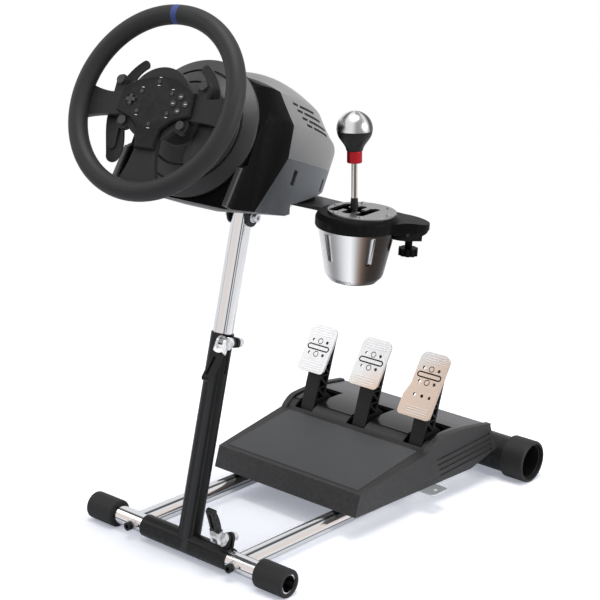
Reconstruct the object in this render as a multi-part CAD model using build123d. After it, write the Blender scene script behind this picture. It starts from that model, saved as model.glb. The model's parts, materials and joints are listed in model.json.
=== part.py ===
"""Racing wheel stand with its steering wheel, gear shifter and pedal set.

Millimetres. X is the driver's right, Y is forward, away from the driver, Z is up.
Everything is drawn about the stand's middle plane, with the front tube at y = 0. The column and
all that it carries is then turned a little in the post's clamp, and the whole is moved so that
the origin lies under its middle.
"""

import os
from math import cos, pi, radians, sin, tan

from build123d import *

os.makedirs("parts", exist_ok=True)

# Fits
RUN = 0.08
PIN_RUN = 0.05
BOLT_R = 4

# Floor frame
FRONT_WIDTH = 390
FRONT_FOOT_R = 21
FRONT_FOOT_LENGTH = 53
FRONT_FOOT_EDGE = 3
FRONT_Z = FRONT_FOOT_R
TUBE_R = 14.5
TUBE_WALL = 2
TUBE_SETBACK = 2
RAIL_X = 101.5
RAIL_R = 14
REAR_Y = 599
REAR_WIDTH = 417
REAR_R = 30
REAR_WALL = 3
REAR_SETBACK = 6
REAR_FOOT_R = 35
REAR_FOOT_LENGTH = 43
REAR_FOOT_EDGE = 3.5
REAR_Z = REAR_FOOT_R
HEAD_R = 6.5
HEAD = 7
SOCKET = 6
WASHER_R = 8.5
WASHER = 2

# Leaning post, measured along its own axis from the front tube
LEAN = 12
POST_R = 16.85
POST_TOP = 314
SLEEVE_HALF = 84
SLIDER_R = 14.75
SLIDER_WALL = 2
SLIDER_LOW = 164
SLIDER_TOP = 497
COLUMN_TURN = 6.5

# Quick clamps
TOP_CLAMP_X = 23
TOP_CLAMP_S = 304
LOW_CLAMP_X = 73
LOW_CLAMP_S = 30
EAR_NEAR = 2
EAR_FAR = 7
EAR_R = 7.5
SLIT_LOW = 256
CLAMP_BOLT_R = 3
CLAMP_WASHER = 3
CLAMP_WASHER_R = 7.5
NUT_WASHER = 2.5
NUT = 7
NUT_ACROSS = 11
CAM_R = 9
CAM_HALF = 9
CAM_PIN_R = 3.5
CAM_PIN_Y = -(EAR_FAR + CLAMP_WASHER + CAM_R + 0.5)
FORK_GAP = 1.2
TOP_HANDLE = 60
LOW_HANDLE = 54
HANDLE_HALF = 6.5
TOP_HANDLE_ANGLE = 15
LOW_HANDLE_ANGLE = 20
CAM_LONG = 18

# Plate on the column
BRACKET_S = 486
BRACKET_THICK = 3.5
BRACKET_FRONT = 22
BRACKET_BACK = 26
PLATE_Z = 532
PLATE_THICK = 5
PLATE_WIDTH = 180
PLATE_FRONT = 63
PLATE_BACK = 160
PLATE_CORNER = 14
SEAT = PLATE_Z + PLATE_THICK

# Steering wheel, in its own frame: x right, y up the rim, z towards the driver
WHEEL_Y = -107
WHEEL_Z = 684.5
WHEEL_TILT = 27.5
WHEEL_TURN = 4.2
RIM_R = 121
GRIP_R = 13.1
STRIPE_ARC = 4.4
STRIPE_DEEP = 1.5
SPIDER_BACK = -13
SPIDER_FRONT = -5
HUB_FACE = 1
HUB_EDGE = 2
HUB_HALF = 59
HUB_TOP = 36
HUB_NECK = 63
BUTTON_RISE = 2
BOSS_R = 36
BOSS_BACK = -30
SHAFT_R = 20
SHAFT_BACK = -100
PADDLE_PIN_X = 46
PADDLE_PIN_Z = -24
PADDLE_PIN_R = 2.5
PADDLE_THICK = 3
PADDLE_HINGE_HALF = 12
PAD_RISE = 3

# Wheel base, in the wheel's frame
BASE_FRONT = -103
RING_R = 97
RING_THICK = 4
COLLAR_R = 36
COLLAR_FRONT = -66
GROOVE = 3
LIP_Z = 524
LIP_FRONT = 2
LIP_BACK = PLATE_FRONT - 3
BASE_BACK = 158
CHIN_X = 73
CHIN_Y = 28
CHIN_WAY = (0.144, -0.25, -0.957)
BASE_FOOT = -99
BLADE_IN = 91
BLADE_OUT = 98
BLADE_TIP = -36
BLADE_FOOT = -98

# Shifter
SHIFT_X = 227.5
SHIFT_Y = 39
SHIFT_R = 55.5
GATE_Z = 553
GATE_R = 45.5
GATE_ASIDE = 4
GATE_THICK = 3
STUD_R = 3
STUD_TALL = 2.5
RING_LOW = 534
LEDGE = 6
LEDGE_R = 40
BUCKET_R = 52.5
BUCKET_LOW = 460
BUCKET_FOOT_R = 38.5
BUCKET_WALL = 3
POCKET_DEEP = 1.8
POCKETS = 5
GIMBAL_Z = 477
GATE_PITCH = 20
GATE_REACH = 18
SLOT_HALF = 6.5
STICK_R = 4
STICK_LEAN = 4
COLLAR_LOW = 618.5
KNOB_LOW = 634.5
KNOB_SEAM = 660.5
KNOB_TOP = 686.5
KNOB_R = 23.7
LOBE_TURN = -45
LOBE_AT = 72
LOBE_R = 26
ARM_NEAR = SHIFT_Y + SHIFT_R + 5
ARM_FAR = ARM_NEAR + 36
ARM_LOW = PLATE_Z - PLATE_THICK
ARM_BOLTS = [(68, 112), (68, 140)]

# Pedal set
PEDAL_X = {"clutch": -109, "brake": 0, "throttle": 114}
PEDAL_W = {"clutch": 54, "brake": 57, "throttle": 55}
PEDAL_LOW = {"clutch": 3, "brake": 5, "throttle": -18}
PEDAL_HIGH = {"clutch": 84, "brake": 87, "throttle": 90}
PEDAL_FLARE = {"clutch": 0, "brake": 0, "throttle": 7}
PEDAL_TILT = 31
PEDAL_FOOT_Y = 401
PEDAL_FOOT_Z = 156.5
PEDAL_CORNER = 7
PLATE_ALU = 4
HOLE_X = 14
HOLE_R = 2.7
HOLE_ROW = 27
HOLE_STEP = 22.5
SCREW_R = 3.8
SCREW_RING_R = 5
GROOVE_DEEP = 1.4
RIB = 0.7
RIB_WIDE = 1.4
RIB_EDGE = 4.5
RIB_STEP = 4
PIVOT_Y = 396
PIVOT_Z = 60
PIVOT_R = 5
PIVOT_BOSS = 11
ARM_HALF = 13
ARM_GAP = 5.5
ARM_LEAN = 15.7
ARM_DEEP = 25
ARM_TOE = (400, 106)
ARM_HEEL = (446, 110)
SHOE = 5
POCKET = 8
WEB = 3
LATTICE_LOW = 113
LATTICE_STEP = 19
LATTICE_STEPS = 4
SLOT_Y0 = 388
SLOT_Y1 = 470
BASE_LOW = FRONT_Z + RAIL_R + 2
BASE_FRONT_Y = 211
BASE_REAR_Y = 565
BASE_HALF_FRONT = 143
BASE_HALF_REAR = 158
BASE_WALL = 4
REST_FRONT = (221, 71)
REST_BACK = (386, 95)
DECK_FRONT = (402, 106)
DECK_BACK = (545, 99)
DECK_CROWN = (430, 109)
DECK_FALL = (480, 107.5)
BACK_KNEE_Z = 55
BASE_HEEL_Y = 500
CHEEK = 10
CHEEK_RISE = 4
CHEEK_ROOT_Z = 96
DECK_THICK = 1.8
STRAP_HALF = 176
STRAP_HOLE_X = 166
STRAP_HOLE_R = 3.25
STRAP_Y = 386
STRAP_WIDE = 40

C = Align.CENTER
LOW = Align.MIN
lean = radians(LEAN)
tilt = radians(WHEEL_TILT)
POST = Plane((0, 0, FRONT_Z), x_dir=(1, 0, 0), z_dir=(0, sin(lean), cos(lean)))
WHEEL = Plane((0, WHEEL_Y, WHEEL_Z), x_dir=(1, 0, 0), z_dir=(0, -cos(tilt), sin(tilt)))
nodes = {}


def rod(start, end, radius):
    """Solid round bar between two points."""
    run = Vector(*end) - Vector(*start)
    return Plane(origin=start, z_dir=run) * Cylinder(radius, run.length, align=(C, C, LOW))


def pipe(start, end, outer, inner):
    """Round tube between two points."""
    return rod(start, end, outer) - rod(start, end, inner)


def block(x0, x1, y0, y1, z0, z1):
    """Box given by its limits."""
    return Pos(x0, y0, z0) * Box(x1 - x0, y1 - y0, z1 - z0, align=(LOW, LOW, LOW))


def loop(*points):
    """Flat face inside straight edges."""
    return make_face(Polyline(*points, close=True))


def side(face, x0, x1):
    """Side view face of (forward, up) pushed across from x0 to x1."""
    plane = Plane((x0, 0, 0), x_dir=(0, 1, 0), z_dir=(1, 0, 0))
    return extrude(plane * face, amount=x1 - x0, dir=(1, 0, 0))


def raised(face, z0, z1):
    """Plan face raised from z0 to z1."""
    return extrude(Pos(0, 0, z0) * face, amount=z1 - z0, dir=(0, 0, 1))


def turned(*points):
    """Outline of (radius, height) points turned about Z."""
    return revolve(Plane.XZ * loop(*points), Axis.Z)


def hexagon(across, z0, z1):
    """Hexagonal bar on Z."""
    return raised(RegularPolygon(across / 2, 6, major_radius=False), z0, z1)


def mirrored(shape):
    """The same shape on the driver's left."""
    return mirror(shape, about=Plane.YZ)


def rubber_foot(bore, outer, length, edge):
    """Foot on Z with rounded ends."""
    foot = Cylinder(outer, length, align=(C, C, LOW))
    foot = fillet(foot.edges().filter_by(GeomType.CIRCLE), edge)
    return foot - Cylinder(bore, length, align=(C, C, LOW))


def cap_bolt(head, shank):
    """Socket head bolt on Z: its washer sits on z = 0, its head points up."""
    bolt = Cylinder(WASHER_R, WASHER, align=(C, C, LOW))
    bolt += Pos(0, 0, WASHER) * Cylinder(HEAD_R, head, align=(C, C, LOW))
    bolt += Pos(0, 0, -shank) * Cylinder(BOLT_R, shank, align=(C, C, LOW))
    return bolt - hexagon(SOCKET, WASHER + head / 2, WASHER + head)


# Floor frame: chrome tubes, the large rear tube and the rubber feet.
half = FRONT_WIDTH / 2
tube_end = half - TUBE_SETBACK
front_bar = rod((-tube_end, 0, FRONT_Z), (tube_end, 0, FRONT_Z), TUBE_R)
front_tube = front_bar - rod((-tube_end, 0, FRONT_Z), (tube_end, 0, FRONT_Z), TUBE_R - TUBE_WALL)
for x in (-RAIL_X, RAIL_X):
    front_tube -= rod((x, -2 * TUBE_R, FRONT_Z), (x, 2 * TUBE_R, FRONT_Z), BOLT_R)
nodes["front_tube"] = front_tube

front_foot = rubber_foot(TUBE_R, FRONT_FOOT_R, FRONT_FOOT_LENGTH, FRONT_FOOT_EDGE)
front_place = Plane((half - FRONT_FOOT_LENGTH, 0, FRONT_Z), x_dir=(0, 1, 0), z_dir=(1, 0, 0))
nodes["front_foot_right"] = front_place * front_foot
nodes["front_foot_left"] = mirrored(nodes["front_foot_right"])

rear_half = REAR_WIDTH / 2
rear_end = rear_half - REAR_SETBACK
rear_bar = rod((-rear_end, REAR_Y, REAR_Z), (rear_end, REAR_Y, REAR_Z), REAR_R)
rear_bore = rod((-rear_end, REAR_Y, REAR_Z), (rear_end, REAR_Y, REAR_Z), REAR_R - REAR_WALL)
nodes["rear_tube"] = rear_bar - rear_bore
rear_foot = rubber_foot(REAR_R, REAR_FOOT_R, REAR_FOOT_LENGTH, REAR_FOOT_EDGE)
rear_place = Plane((rear_half - REAR_FOOT_LENGTH, REAR_Y, REAR_Z), x_dir=(0, 1, 0), z_dir=(1, 0, 0))
nodes["rear_foot_right"] = rear_place * rear_foot
nodes["rear_foot_left"] = mirrored(nodes["rear_foot_right"])

# Each rail is cut to saddle on the tubes it joins, and a bolt through the front tube holds it.
rail = pipe((RAIL_X, 0, FRONT_Z), (RAIL_X, REAR_Y, FRONT_Z), RAIL_R, RAIL_R - TUBE_WALL)
rail -= front_bar
rail -= rear_bar
nodes["rail_right"] = rail
nodes["rail_left"] = mirrored(rail)

bolt_face = TUBE_R + WASHER
bolt = Plane((RAIL_X, -bolt_face, FRONT_Z), z_dir=(0, -1, 0)) * cap_bolt(HEAD, bolt_face + 2 * TUBE_R)
bolt += rod((RAIL_X, -bolt_face - WASHER, FRONT_Z), (RAIL_X, -TUBE_R / 2, FRONT_Z), WASHER_R) - front_bar
nodes["rail_bolts"] = bolt + mirrored(bolt)

# Pedal set: hollow base, foot rest, deck with three slots, mounting strap and pivot rod.
strap_sketch = Pos(0, STRAP_Y) * RectangleRounded(2 * STRAP_HALF, STRAP_WIDE, 6)
strap_sketch -= [Pos(x, STRAP_Y) * Circle(STRAP_HOLE_R) for x in (-STRAP_HOLE_X, STRAP_HOLE_X)]
nodes["pedal_strap"] = raised(strap_sketch, FRONT_Z + RAIL_R, BASE_LOW)


def base_plan(inset):
    """Plan of the pedal base, a little wider at the back, drawn in by a wall."""
    front = BASE_HALF_FRONT - inset
    rear = BASE_HALF_REAR - inset
    y0 = BASE_FRONT_Y - CHEEK + inset
    y1 = BASE_REAR_Y + CHEEK - inset
    return raised(loop((-front, y0), (front, y0), (rear, y1), (-rear, y1)), 0, PEDAL_FOOT_Z)


def base_side(lift, front, low):
    """Side view of the pedal base under a top line that is lifted or lowered."""
    rest0 = (REST_FRONT[0] + front, REST_FRONT[1] + lift)
    rest1 = (REST_BACK[0], REST_BACK[1] + lift)
    deck0 = (DECK_FRONT[0], DECK_FRONT[1] + lift)
    ridge = ThreePointArc(rest1, (REST_BACK[0] + 6, REST_BACK[1] + 7 + lift), deck0)
    top = deck_curve(lift)
    back = Polyline((DECK_BACK[0], DECK_BACK[1] + lift), (BASE_REAR_Y - front, BACK_KNEE_Z), (BASE_HEEL_Y, low),
                    (BASE_FRONT_Y + front, low), rest0, rest1)
    return make_face(back + ridge + top)


def deck_curve(lift):
    """Gently crowned line of the deck behind the foot rest."""
    points = (DECK_FRONT, DECK_CROWN, DECK_FALL, DECK_BACK)
    return Spline(*[(y, z + lift) for y, z in points])


BROAD = 2 * BASE_HALF_REAR
base = side(base_side(0, 0, BASE_LOW), -BROAD, BROAD) & base_plan(0)
cheek_front = (REST_BACK[0] - 8, REST_BACK[1] - 4)
cheek_peak = (DECK_FRONT[0] + 4, DECK_FRONT[1] + 1.5 + CHEEK_RISE)
cheek_back = (DECK_BACK[0] + 1, DECK_BACK[1] + CHEEK_RISE)
cheek_line = ThreePointArc(cheek_front, (DECK_FRONT[0] - 9, DECK_FRONT[1]), cheek_peak)
cheek_rows = [(y, z + CHEEK_RISE) for y, z in (DECK_CROWN, DECK_FALL)]
cheek_top = Spline(cheek_peak, *cheek_rows, cheek_back)
cheek_low = Polyline(cheek_back, (DECK_BACK[0] - 2, DECK_BACK[1] - 8),
                     (DECK_CROWN[0], CHEEK_ROOT_Z), cheek_front)
cheek = side(make_face(cheek_line + cheek_top + cheek_low), -BROAD, BROAD)
base += cheek & (base_plan(0) - base_plan(CHEEK))
base -= side(base_side(-BASE_WALL, BASE_WALL, BASE_LOW + 3), -BROAD, BROAD) & base_plan(BASE_WALL)
LOUVRE_LOW = 47
LOUVRE_STEP = 9.5
LOUVRE_WIDE = 3
LOUVRE_CLIMB = 9
for row in range(4):
    low = LOUVRE_LOW + LOUVRE_STEP * row
    near = 418 - 4 * row
    far = 552 - 3 * row
    groove = side(loop((near, low), (far, low + LOUVRE_CLIMB), (far, low + LOUVRE_CLIMB + LOUVRE_WIDE),
                       (near, low + LOUVRE_WIDE)), -BROAD, BROAD)
    base -= groove - base_plan(BASE_WALL / 2)

rest_run = (Vector(*REST_BACK) - Vector(*REST_FRONT)).normalized()


def on_rest(run, rise):
    """Point on the sloping foot rest, measured from its front edge."""
    return (REST_FRONT[0] + rest_run.X * run - rest_run.Y * rise,
            REST_FRONT[1] + rest_run.Y * run + rest_run.X * rise)


REST_EDGE = 9
REST_LENGTH = 159
REST_HALF = BASE_HALF_FRONT - 12
REST_SUNK = -1.5
base -= side(loop(on_rest(REST_EDGE, REST_SUNK), on_rest(REST_LENGTH, REST_SUNK),
                  on_rest(REST_LENGTH, 8), on_rest(REST_EDGE, 8)), -REST_HALF, REST_HALF)
rest = side(loop(on_rest(REST_EDGE, REST_SUNK), on_rest(REST_LENGTH, REST_SUNK),
                 on_rest(REST_LENGTH, 1), on_rest(REST_EDGE, 1)), -REST_HALF, REST_HALF)
deck_end = Line(DECK_BACK, (DECK_BACK[0], DECK_BACK[1] + DECK_THICK))
deck_start = Line(DECK_FRONT, (DECK_FRONT[0], DECK_FRONT[1] + DECK_THICK))
deck_face = make_face(deck_curve(0) + deck_end + deck_curve(DECK_THICK) + deck_start)
deck = side(deck_face, -BROAD, BROAD) & base_plan(CHEEK + 0.5)
for x in PEDAL_X.values():
    reach = ARM_HALF + ARM_GAP
    slot = block(x - reach, x + reach, SLOT_Y0, SLOT_Y1, PIVOT_Z + 20, PEDAL_FOOT_Z)
    base -= slot
    deck -= slot
ROD_HALF = BASE_HALF_FRONT + 5.5
pivot_rod = rod((-ROD_HALF, PIVOT_Y, PIVOT_Z), (ROD_HALF, PIVOT_Y, PIVOT_Z), PIVOT_R)
nodes["pedal_base"] = base - pivot_rod
nodes["pedal_rod"] = pivot_rod
nodes["foot_rest"] = rest
nodes["pedal_deck"] = deck

pedal_tilt = radians(PEDAL_TILT)


def at_plate(run, depth):
    """Point by height along a pedal plate and depth behind it."""
    return (
        PEDAL_FOOT_Y + run * sin(pedal_tilt) + depth * cos(pedal_tilt),
        PEDAL_FOOT_Z + run * cos(pedal_tilt) - depth * sin(pedal_tilt),
    )


def arm_front(z):
    """Front edge of a pedal arm at a height."""
    return ARM_TOE[0] + (z - ARM_TOE[1]) * tan(radians(ARM_LEAN))


def arm_back(z):
    """Rear edge of a pedal arm at a height."""
    return arm_front(z) + ARM_DEEP


def arm_inner(z):
    """Front limit of the lattice: the arm's edge or the shoe behind the plate."""
    shoe = PEDAL_FOOT_Y + (z - PEDAL_FOOT_Z) * tan(pedal_tilt) + SHOE + 3
    return max(arm_front(z), shoe)


def pedal_arm(x, low, high):
    """Arm with a pivot boss, a flared heel, a shoe under its plate and a lattice on each side."""
    shoe_top = at_plate(high - 14, 0)
    shoe_back = at_plate(low + 8, SHOE)
    shoe_z = shoe_back[1] - 3
    top_z = shoe_top[1] - 8
    back_z = ARM_HEEL[1] + 12
    face = loop(shoe_top, at_plate(low + 8, 0), shoe_back, (arm_front(shoe_z), shoe_z), ARM_TOE,
                (PIVOT_Y - 10, PIVOT_Z + 6), (PIVOT_Y + 6, PIVOT_Z - 10), (PIVOT_Y + 28, PIVOT_Z + 37),
                ARM_HEEL, (arm_back(back_z), back_z), (arm_back(top_z), top_z))
    arm = side(face, x - ARM_HALF, x + ARM_HALF)
    arm += rod((x - ARM_HALF, PIVOT_Y, PIVOT_Z), (x + ARM_HALF, PIVOT_Y, PIVOT_Z), PIVOT_BOSS)
    for step in range(LATTICE_STEPS):
        z0 = LATTICE_LOW + LATTICE_STEP * step
        z1 = z0 + LATTICE_STEP
        rising = loop((arm_inner(z0) + WEB, z0 + 1), (arm_back(z0) - WEB, z0 + 1),
                      (arm_inner(z1) + WEB, z1 - 4))
        falling = loop((arm_back(z0) - WEB, z0 + 6), (arm_back(z1) - WEB, z1 - 1),
                       (arm_inner(z1) + 2 * WEB, z1 - 1))
        for pocket in (rising, falling):
            arm -= side(pocket, x - ARM_HALF - 1, x - ARM_HALF + POCKET)
            arm -= side(pocket, x + ARM_HALF - POCKET, x + ARM_HALF + 1)
    bore = PIVOT_R + PIN_RUN
    return arm - rod((x - 2 * ARM_HALF, PIVOT_Y, PIVOT_Z), (x + 2 * ARM_HALF, PIVOT_Y, PIVOT_Z), bore)


def plate_outline(width, low, high, flare):
    """Rounded plate, wider at the lower left where it flares for the heel."""
    right = width / 2
    points = [(right, low), (right, high), (-right, high)]
    if flare:
        points += [(-right, low + 52), (-right - flare, low + 32)]
    points.append((-right - flare, low))
    return fillet(loop(*points).vertices(), PEDAL_CORNER)


def pedal_plate(x, width, low, high, flare):
    """Aluminium plate with rows of holes, a framed bar and raised cross ribs."""
    facing = (0, -cos(pedal_tilt), sin(pedal_tilt))
    place = Plane((x, PEDAL_FOOT_Y, PEDAL_FOOT_Z), x_dir=(1, 0, 0), z_dir=facing)
    upper = high - HOLE_ROW
    bar = upper - HOLE_STEP / 2
    lower = upper - HOLE_STEP
    face = plate_outline(width, low, high, flare)
    for row in (upper, lower):
        face -= [Pos(hole_x, row) * Circle(HOLE_R) for hole_x in (-HOLE_X, HOLE_X)]
    if flare:
        face -= [Pos(hole_x, lower - HOLE_STEP) * Circle(HOLE_R) for hole_x in (-HOLE_X, 0, HOLE_X)]
    plate = extrude(face, amount=PLATE_ALU, dir=(0, 0, 1))
    frame = SlotOverall(width - 9, 10) - SlotOverall(width - 12.5, 6.5)
    plate -= extrude(Pos(0, bar, PLATE_ALU - GROOVE_DEEP) * frame, amount=2 * GROOVE_DEEP, dir=(0, 0, 1))
    for row in (upper, lower):
        screw = Pos(0, row, PLATE_ALU)
        plate -= screw * (Cylinder(SCREW_RING_R, 2 * GROOVE_DEEP) - Cylinder(SCREW_R, 2 * GROOVE_DEEP))
    for step in range(4):
        for rib in (high - RIB_EDGE - RIB_STEP * step, low + RIB_EDGE + RIB_STEP * step):
            plate += Pos(0, rib, PLATE_ALU) * Box(width - 15, RIB_WIDE, 2 * RIB)
    return place * plate


for name, x in PEDAL_X.items():
    low = PEDAL_LOW[name]
    high = PEDAL_HIGH[name]
    nodes[f"{name}_arm"] = pedal_arm(x, low, high)
    nodes[f"{name}_plate"] = pedal_plate(x, PEDAL_W[name], low, high, PEDAL_FLARE[name])

# Post: black tube welded to a sleeve that turns on the front tube, split and eared at both clamps.
POST_FOOT = 6
BORE_FOOT = POST_R + 3
post = Pos(0, 0, POST_FOOT) * Cylinder(POST_R, POST_TOP - POST_FOOT, align=(C, C, LOW))
post += rod((-SLEEVE_HALF, 0, 0), (SLEEVE_HALF, 0, 0), POST_R)
for sign in (-1, 1):
    near = min(sign * EAR_NEAR, sign * EAR_FAR)
    far = max(sign * EAR_NEAR, sign * EAR_FAR)
    post += block(POST_R - 5, TOP_CLAMP_X, near, far, TOP_CLAMP_S - EAR_R, TOP_CLAMP_S + EAR_R)
    post += rod((TOP_CLAMP_X, near, TOP_CLAMP_S), (TOP_CLAMP_X, far, TOP_CLAMP_S), EAR_R)
    post += block(LOW_CLAMP_X - EAR_R, LOW_CLAMP_X + EAR_R, near, far, POST_R - 5, LOW_CLAMP_S)
    post += rod((LOW_CLAMP_X, near, LOW_CLAMP_S), (LOW_CLAMP_X, far, LOW_CLAMP_S), EAR_R)
post -= Pos(0, 0, BORE_FOOT) * Cylinder(SLIDER_R + RUN, POST_TOP, align=(C, C, LOW))
post -= rod((-SLEEVE_HALF - 1, 0, 0), (SLEEVE_HALF + 1, 0, 0), TUBE_R + RUN)
post -= block(POST_R - 4, TOP_CLAMP_X + 2 * EAR_R, -EAR_NEAR, EAR_NEAR, SLIT_LOW, POST_TOP + EAR_R)
post -= block(LOW_CLAMP_X - EAR_R - 4, SLEEVE_HALF + 5, -EAR_NEAR, EAR_NEAR, POST_R - 7,
              LOW_CLAMP_S + 2 * EAR_R)
for x, s in ((TOP_CLAMP_X, TOP_CLAMP_S), (LOW_CLAMP_X, LOW_CLAMP_S)):
    post -= rod((x, -2 * EAR_FAR, s), (x, 2 * EAR_FAR, s), CLAMP_BOLT_R)
nodes["post_tube"] = POST * post


def clamp_bolt(x, s):
    """Draw bolt with its nut, its washers and the cross pin the cam turns on."""
    nut = EAR_FAR + NUT_WASHER
    piece = rod((x, CAM_PIN_Y, s), (x, nut + NUT + 3, s), CLAMP_BOLT_R)
    piece += rod((x, EAR_FAR, s), (x, nut, s), CLAMP_WASHER_R)
    piece += Plane((x, nut, s), z_dir=(0, 1, 0)) * hexagon(NUT_ACROSS, 0, NUT)
    piece += pipe((x, -EAR_FAR - CLAMP_WASHER, s), (x, -EAR_FAR, s), CLAMP_WASHER_R, CLAMP_BOLT_R)
    piece += rod((x - CAM_HALF, CAM_PIN_Y, s), (x + CAM_HALF, CAM_PIN_Y, s), CAM_PIN_R)
    return POST * piece


def cam_lever(reach):
    """Forked cam on the pin with a curved handle that runs up along the tube."""
    cam = rod((-CAM_HALF, 0, 0), (CAM_HALF, 0, 0), CAM_R)
    cam += block(-CAM_HALF, CAM_HALF, -CAM_R, 0, 0, CAM_LONG)
    fork = CLAMP_BOLT_R + FORK_GAP
    cam -= block(-fork, fork, -2 * CAM_R, 2 * CAM_R, -2 * CAM_R, CAM_PIN_R + FORK_GAP)
    near = Spline((0, CAM_R), (-1, reach * 0.5), (-7, reach * 0.88))
    tip = ThreePointArc((-7, reach * 0.88), (-11, reach), (-16, reach * 0.9))
    far = Spline((-16, reach * 0.9), (-12, reach * 0.55), (-CAM_R, CAM_R))
    root = Line((-CAM_R, CAM_R), (0, CAM_R))
    handle = side(make_face(near + tip + far + root), -HANDLE_HALF, HANDLE_HALF)
    outline = Plane.XZ * (Pos(0, reach / 2) * Rot(0, 0, 90) * SlotOverall(reach + CAM_R, 2 * HANDLE_HALF))
    handle &= extrude(outline, amount=4 * CAM_R, both=True)
    slot = Plane.XZ * (Pos(0, reach * 0.62) * Rot(0, 0, 90) * SlotOverall(reach * 0.5, 4.5))
    handle -= extrude(slot, amount=4 * CAM_R, both=True)
    return cam + handle - rod((-2 * CAM_HALF, 0, 0), (2 * CAM_HALF, 0, 0), CAM_PIN_R + PIN_RUN)


nodes["top_clamp_bolt"] = clamp_bolt(TOP_CLAMP_X, TOP_CLAMP_S)
nodes["low_clamp_bolt"] = clamp_bolt(LOW_CLAMP_X, LOW_CLAMP_S)
top_lever = Rot(-TOP_HANDLE_ANGLE, 0, 0) * mirror(cam_lever(TOP_HANDLE), about=Plane.XY)
nodes["top_lever"] = POST * (Pos(TOP_CLAMP_X, CAM_PIN_Y, TOP_CLAMP_S) * top_lever)
low_lever = Rot(LOW_HANDLE_ANGLE, 0, 0) * cam_lever(LOW_HANDLE)
nodes["low_lever"] = POST * (Pos(LOW_CLAMP_X, CAM_PIN_Y, LOW_CLAMP_S) * low_lever)

# Chrome slider with the bracket and the plate that carries the wheel.
carried = {}
slider = pipe((0, 0, SLIDER_LOW), (0, 0, SLIDER_TOP), SLIDER_R, SLIDER_R - SLIDER_WALL)
slider -= rod((-2 * SLIDER_R, 0, BRACKET_S), (2 * SLIDER_R, 0, BRACKET_S), BOLT_R)
carried["slider_tube"] = POST * slider

HINGE_Y = BRACKET_S * sin(lean)
HINGE_Z = FRONT_Z + BRACKET_S * cos(lean)
ear_out = SLIDER_R + BRACKET_THICK
ear_sides = Polyline((HINGE_Y - 13, HINGE_Z - 6), (HINGE_Y - BRACKET_FRONT, PLATE_Z),
                     (HINGE_Y + BRACKET_BACK, PLATE_Z), (HINGE_Y + 13, HINGE_Z - 6))
ear_round = ThreePointArc((HINGE_Y + 13, HINGE_Z - 6), (HINGE_Y, HINGE_Z - 15), (HINGE_Y - 13, HINGE_Z - 6))
ear = side(make_face(ear_sides + ear_round), SLIDER_R, ear_out)
bracket = ear + mirrored(ear)
bracket += block(-ear_out, ear_out, HINGE_Y - BRACKET_FRONT, HINGE_Y + BRACKET_BACK,
                 PLATE_Z - BRACKET_THICK, PLATE_Z)
bracket -= rod((-2 * ear_out, HINGE_Y, HINGE_Z), (2 * ear_out, HINGE_Y, HINGE_Z), BOLT_R)
carried["plate_bracket"] = bracket
pivot = Plane((ear_out, HINGE_Y, HINGE_Z), z_dir=(1, 0, 0)) * cap_bolt(HEAD, 2 * ear_out + HEAD)
pivot += Plane((-ear_out, HINGE_Y, HINGE_Z), z_dir=(-1, 0, 0)) * hexagon(2 * HEAD_R, 0, HEAD)
carried["bracket_bolt"] = pivot

plate_long = PLATE_BACK - PLATE_FRONT
plate_mid = PLATE_FRONT + plate_long / 2
plate_sketch = Pos(0, plate_mid) * RectangleRounded(PLATE_WIDTH, plate_long, PLATE_CORNER)
plate_sketch -= [Pos(x, PLATE_FRONT + 55) * Rot(0, 0, 90) * SlotOverall(60, 8) for x in (-55, 38)]
plate_sketch -= [Pos(x, PLATE_BACK - 22) * Circle(BOLT_R) for x in (-76, 0)]
plate_sketch -= [Pos(x, y) * Circle(BOLT_R) for x, y in ARM_BOLTS]
carried["wheel_plate"] = raised(plate_sketch, PLATE_Z, SEAT)


def in_wheel(y, z):
    """Column point (forward, up) in the wheel's own (up the rim, towards the driver) terms."""
    dy = y - WHEEL_Y
    dz = z - WHEEL_Z
    return (dy * sin(tilt) + dz * cos(tilt), -dy * cos(tilt) + dz * sin(tilt))


# Wheel base: one closed body lofted through six arched sections and cut to its seat, then parted
# along a chevron and a seam into front housing, silver shell and lower housing.
def arch(z, half_wide, low, crease, brow, rise, top):
    """Section with upright sides, a crease, sloping shoulders and an arched top."""
    foot = Polyline((-brow, rise), (-half_wide, crease), (-half_wide, low), (half_wide, low),
                    (half_wide, crease), (brow, rise))
    return Pos(0, 0, z) * make_face(foot + ThreePointArc((brow, rise), (0, top), (-brow, rise)))


BASE_WIDE = 150
shell = loft([
    arch(BASE_FRONT, BLADE_OUT, BASE_FOOT, 18, 66, 71, RING_R),
    arch(-150, 104, -125, 42, 80, 82, 97),
    arch(-200, 107, -125, 50, 82, 88, 116),
    arch(-245, 107, -125, 58, 84, 90, 113),
    arch(-280, 104, -125, 56, 76, 78, 98),
    arch(-312, 88, -125, 32, 58, 44, 54),
])
seat_cut = loop((150, BASE_FRONT + 10), (150, -400), in_wheel(BASE_BACK + 40, SEAT + 30),
                in_wheel(BASE_BACK, SEAT), in_wheel(LIP_BACK, SEAT), in_wheel(LIP_BACK, LIP_Z),
                in_wheel(LIP_FRONT, LIP_Z),
                (BASE_FOOT, BASE_FRONT), (BASE_FOOT, BASE_FRONT + 10))
shell &= side(seat_cut, -BASE_WIDE, BASE_WIDE)
CORNER = (1, -178)
chevron = side(loop((160, BASE_FRONT + 20), (160, -122), (84, -148), (43, -168), CORNER, (-79, -147),
                    (-160, -117), (-160, BASE_FRONT + 20)), -BASE_WIDE, BASE_WIDE)
seam = side(loop(CORNER, (CORNER[0], BASE_FRONT + 20), (160, BASE_FRONT + 20), (160, -400), (39, -400)),
            -BASE_WIDE, BASE_WIDE)
rear = shell - chevron
silver = rear & seam
lower = rear - seam
VENT_ANGLE = 33.5
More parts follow.
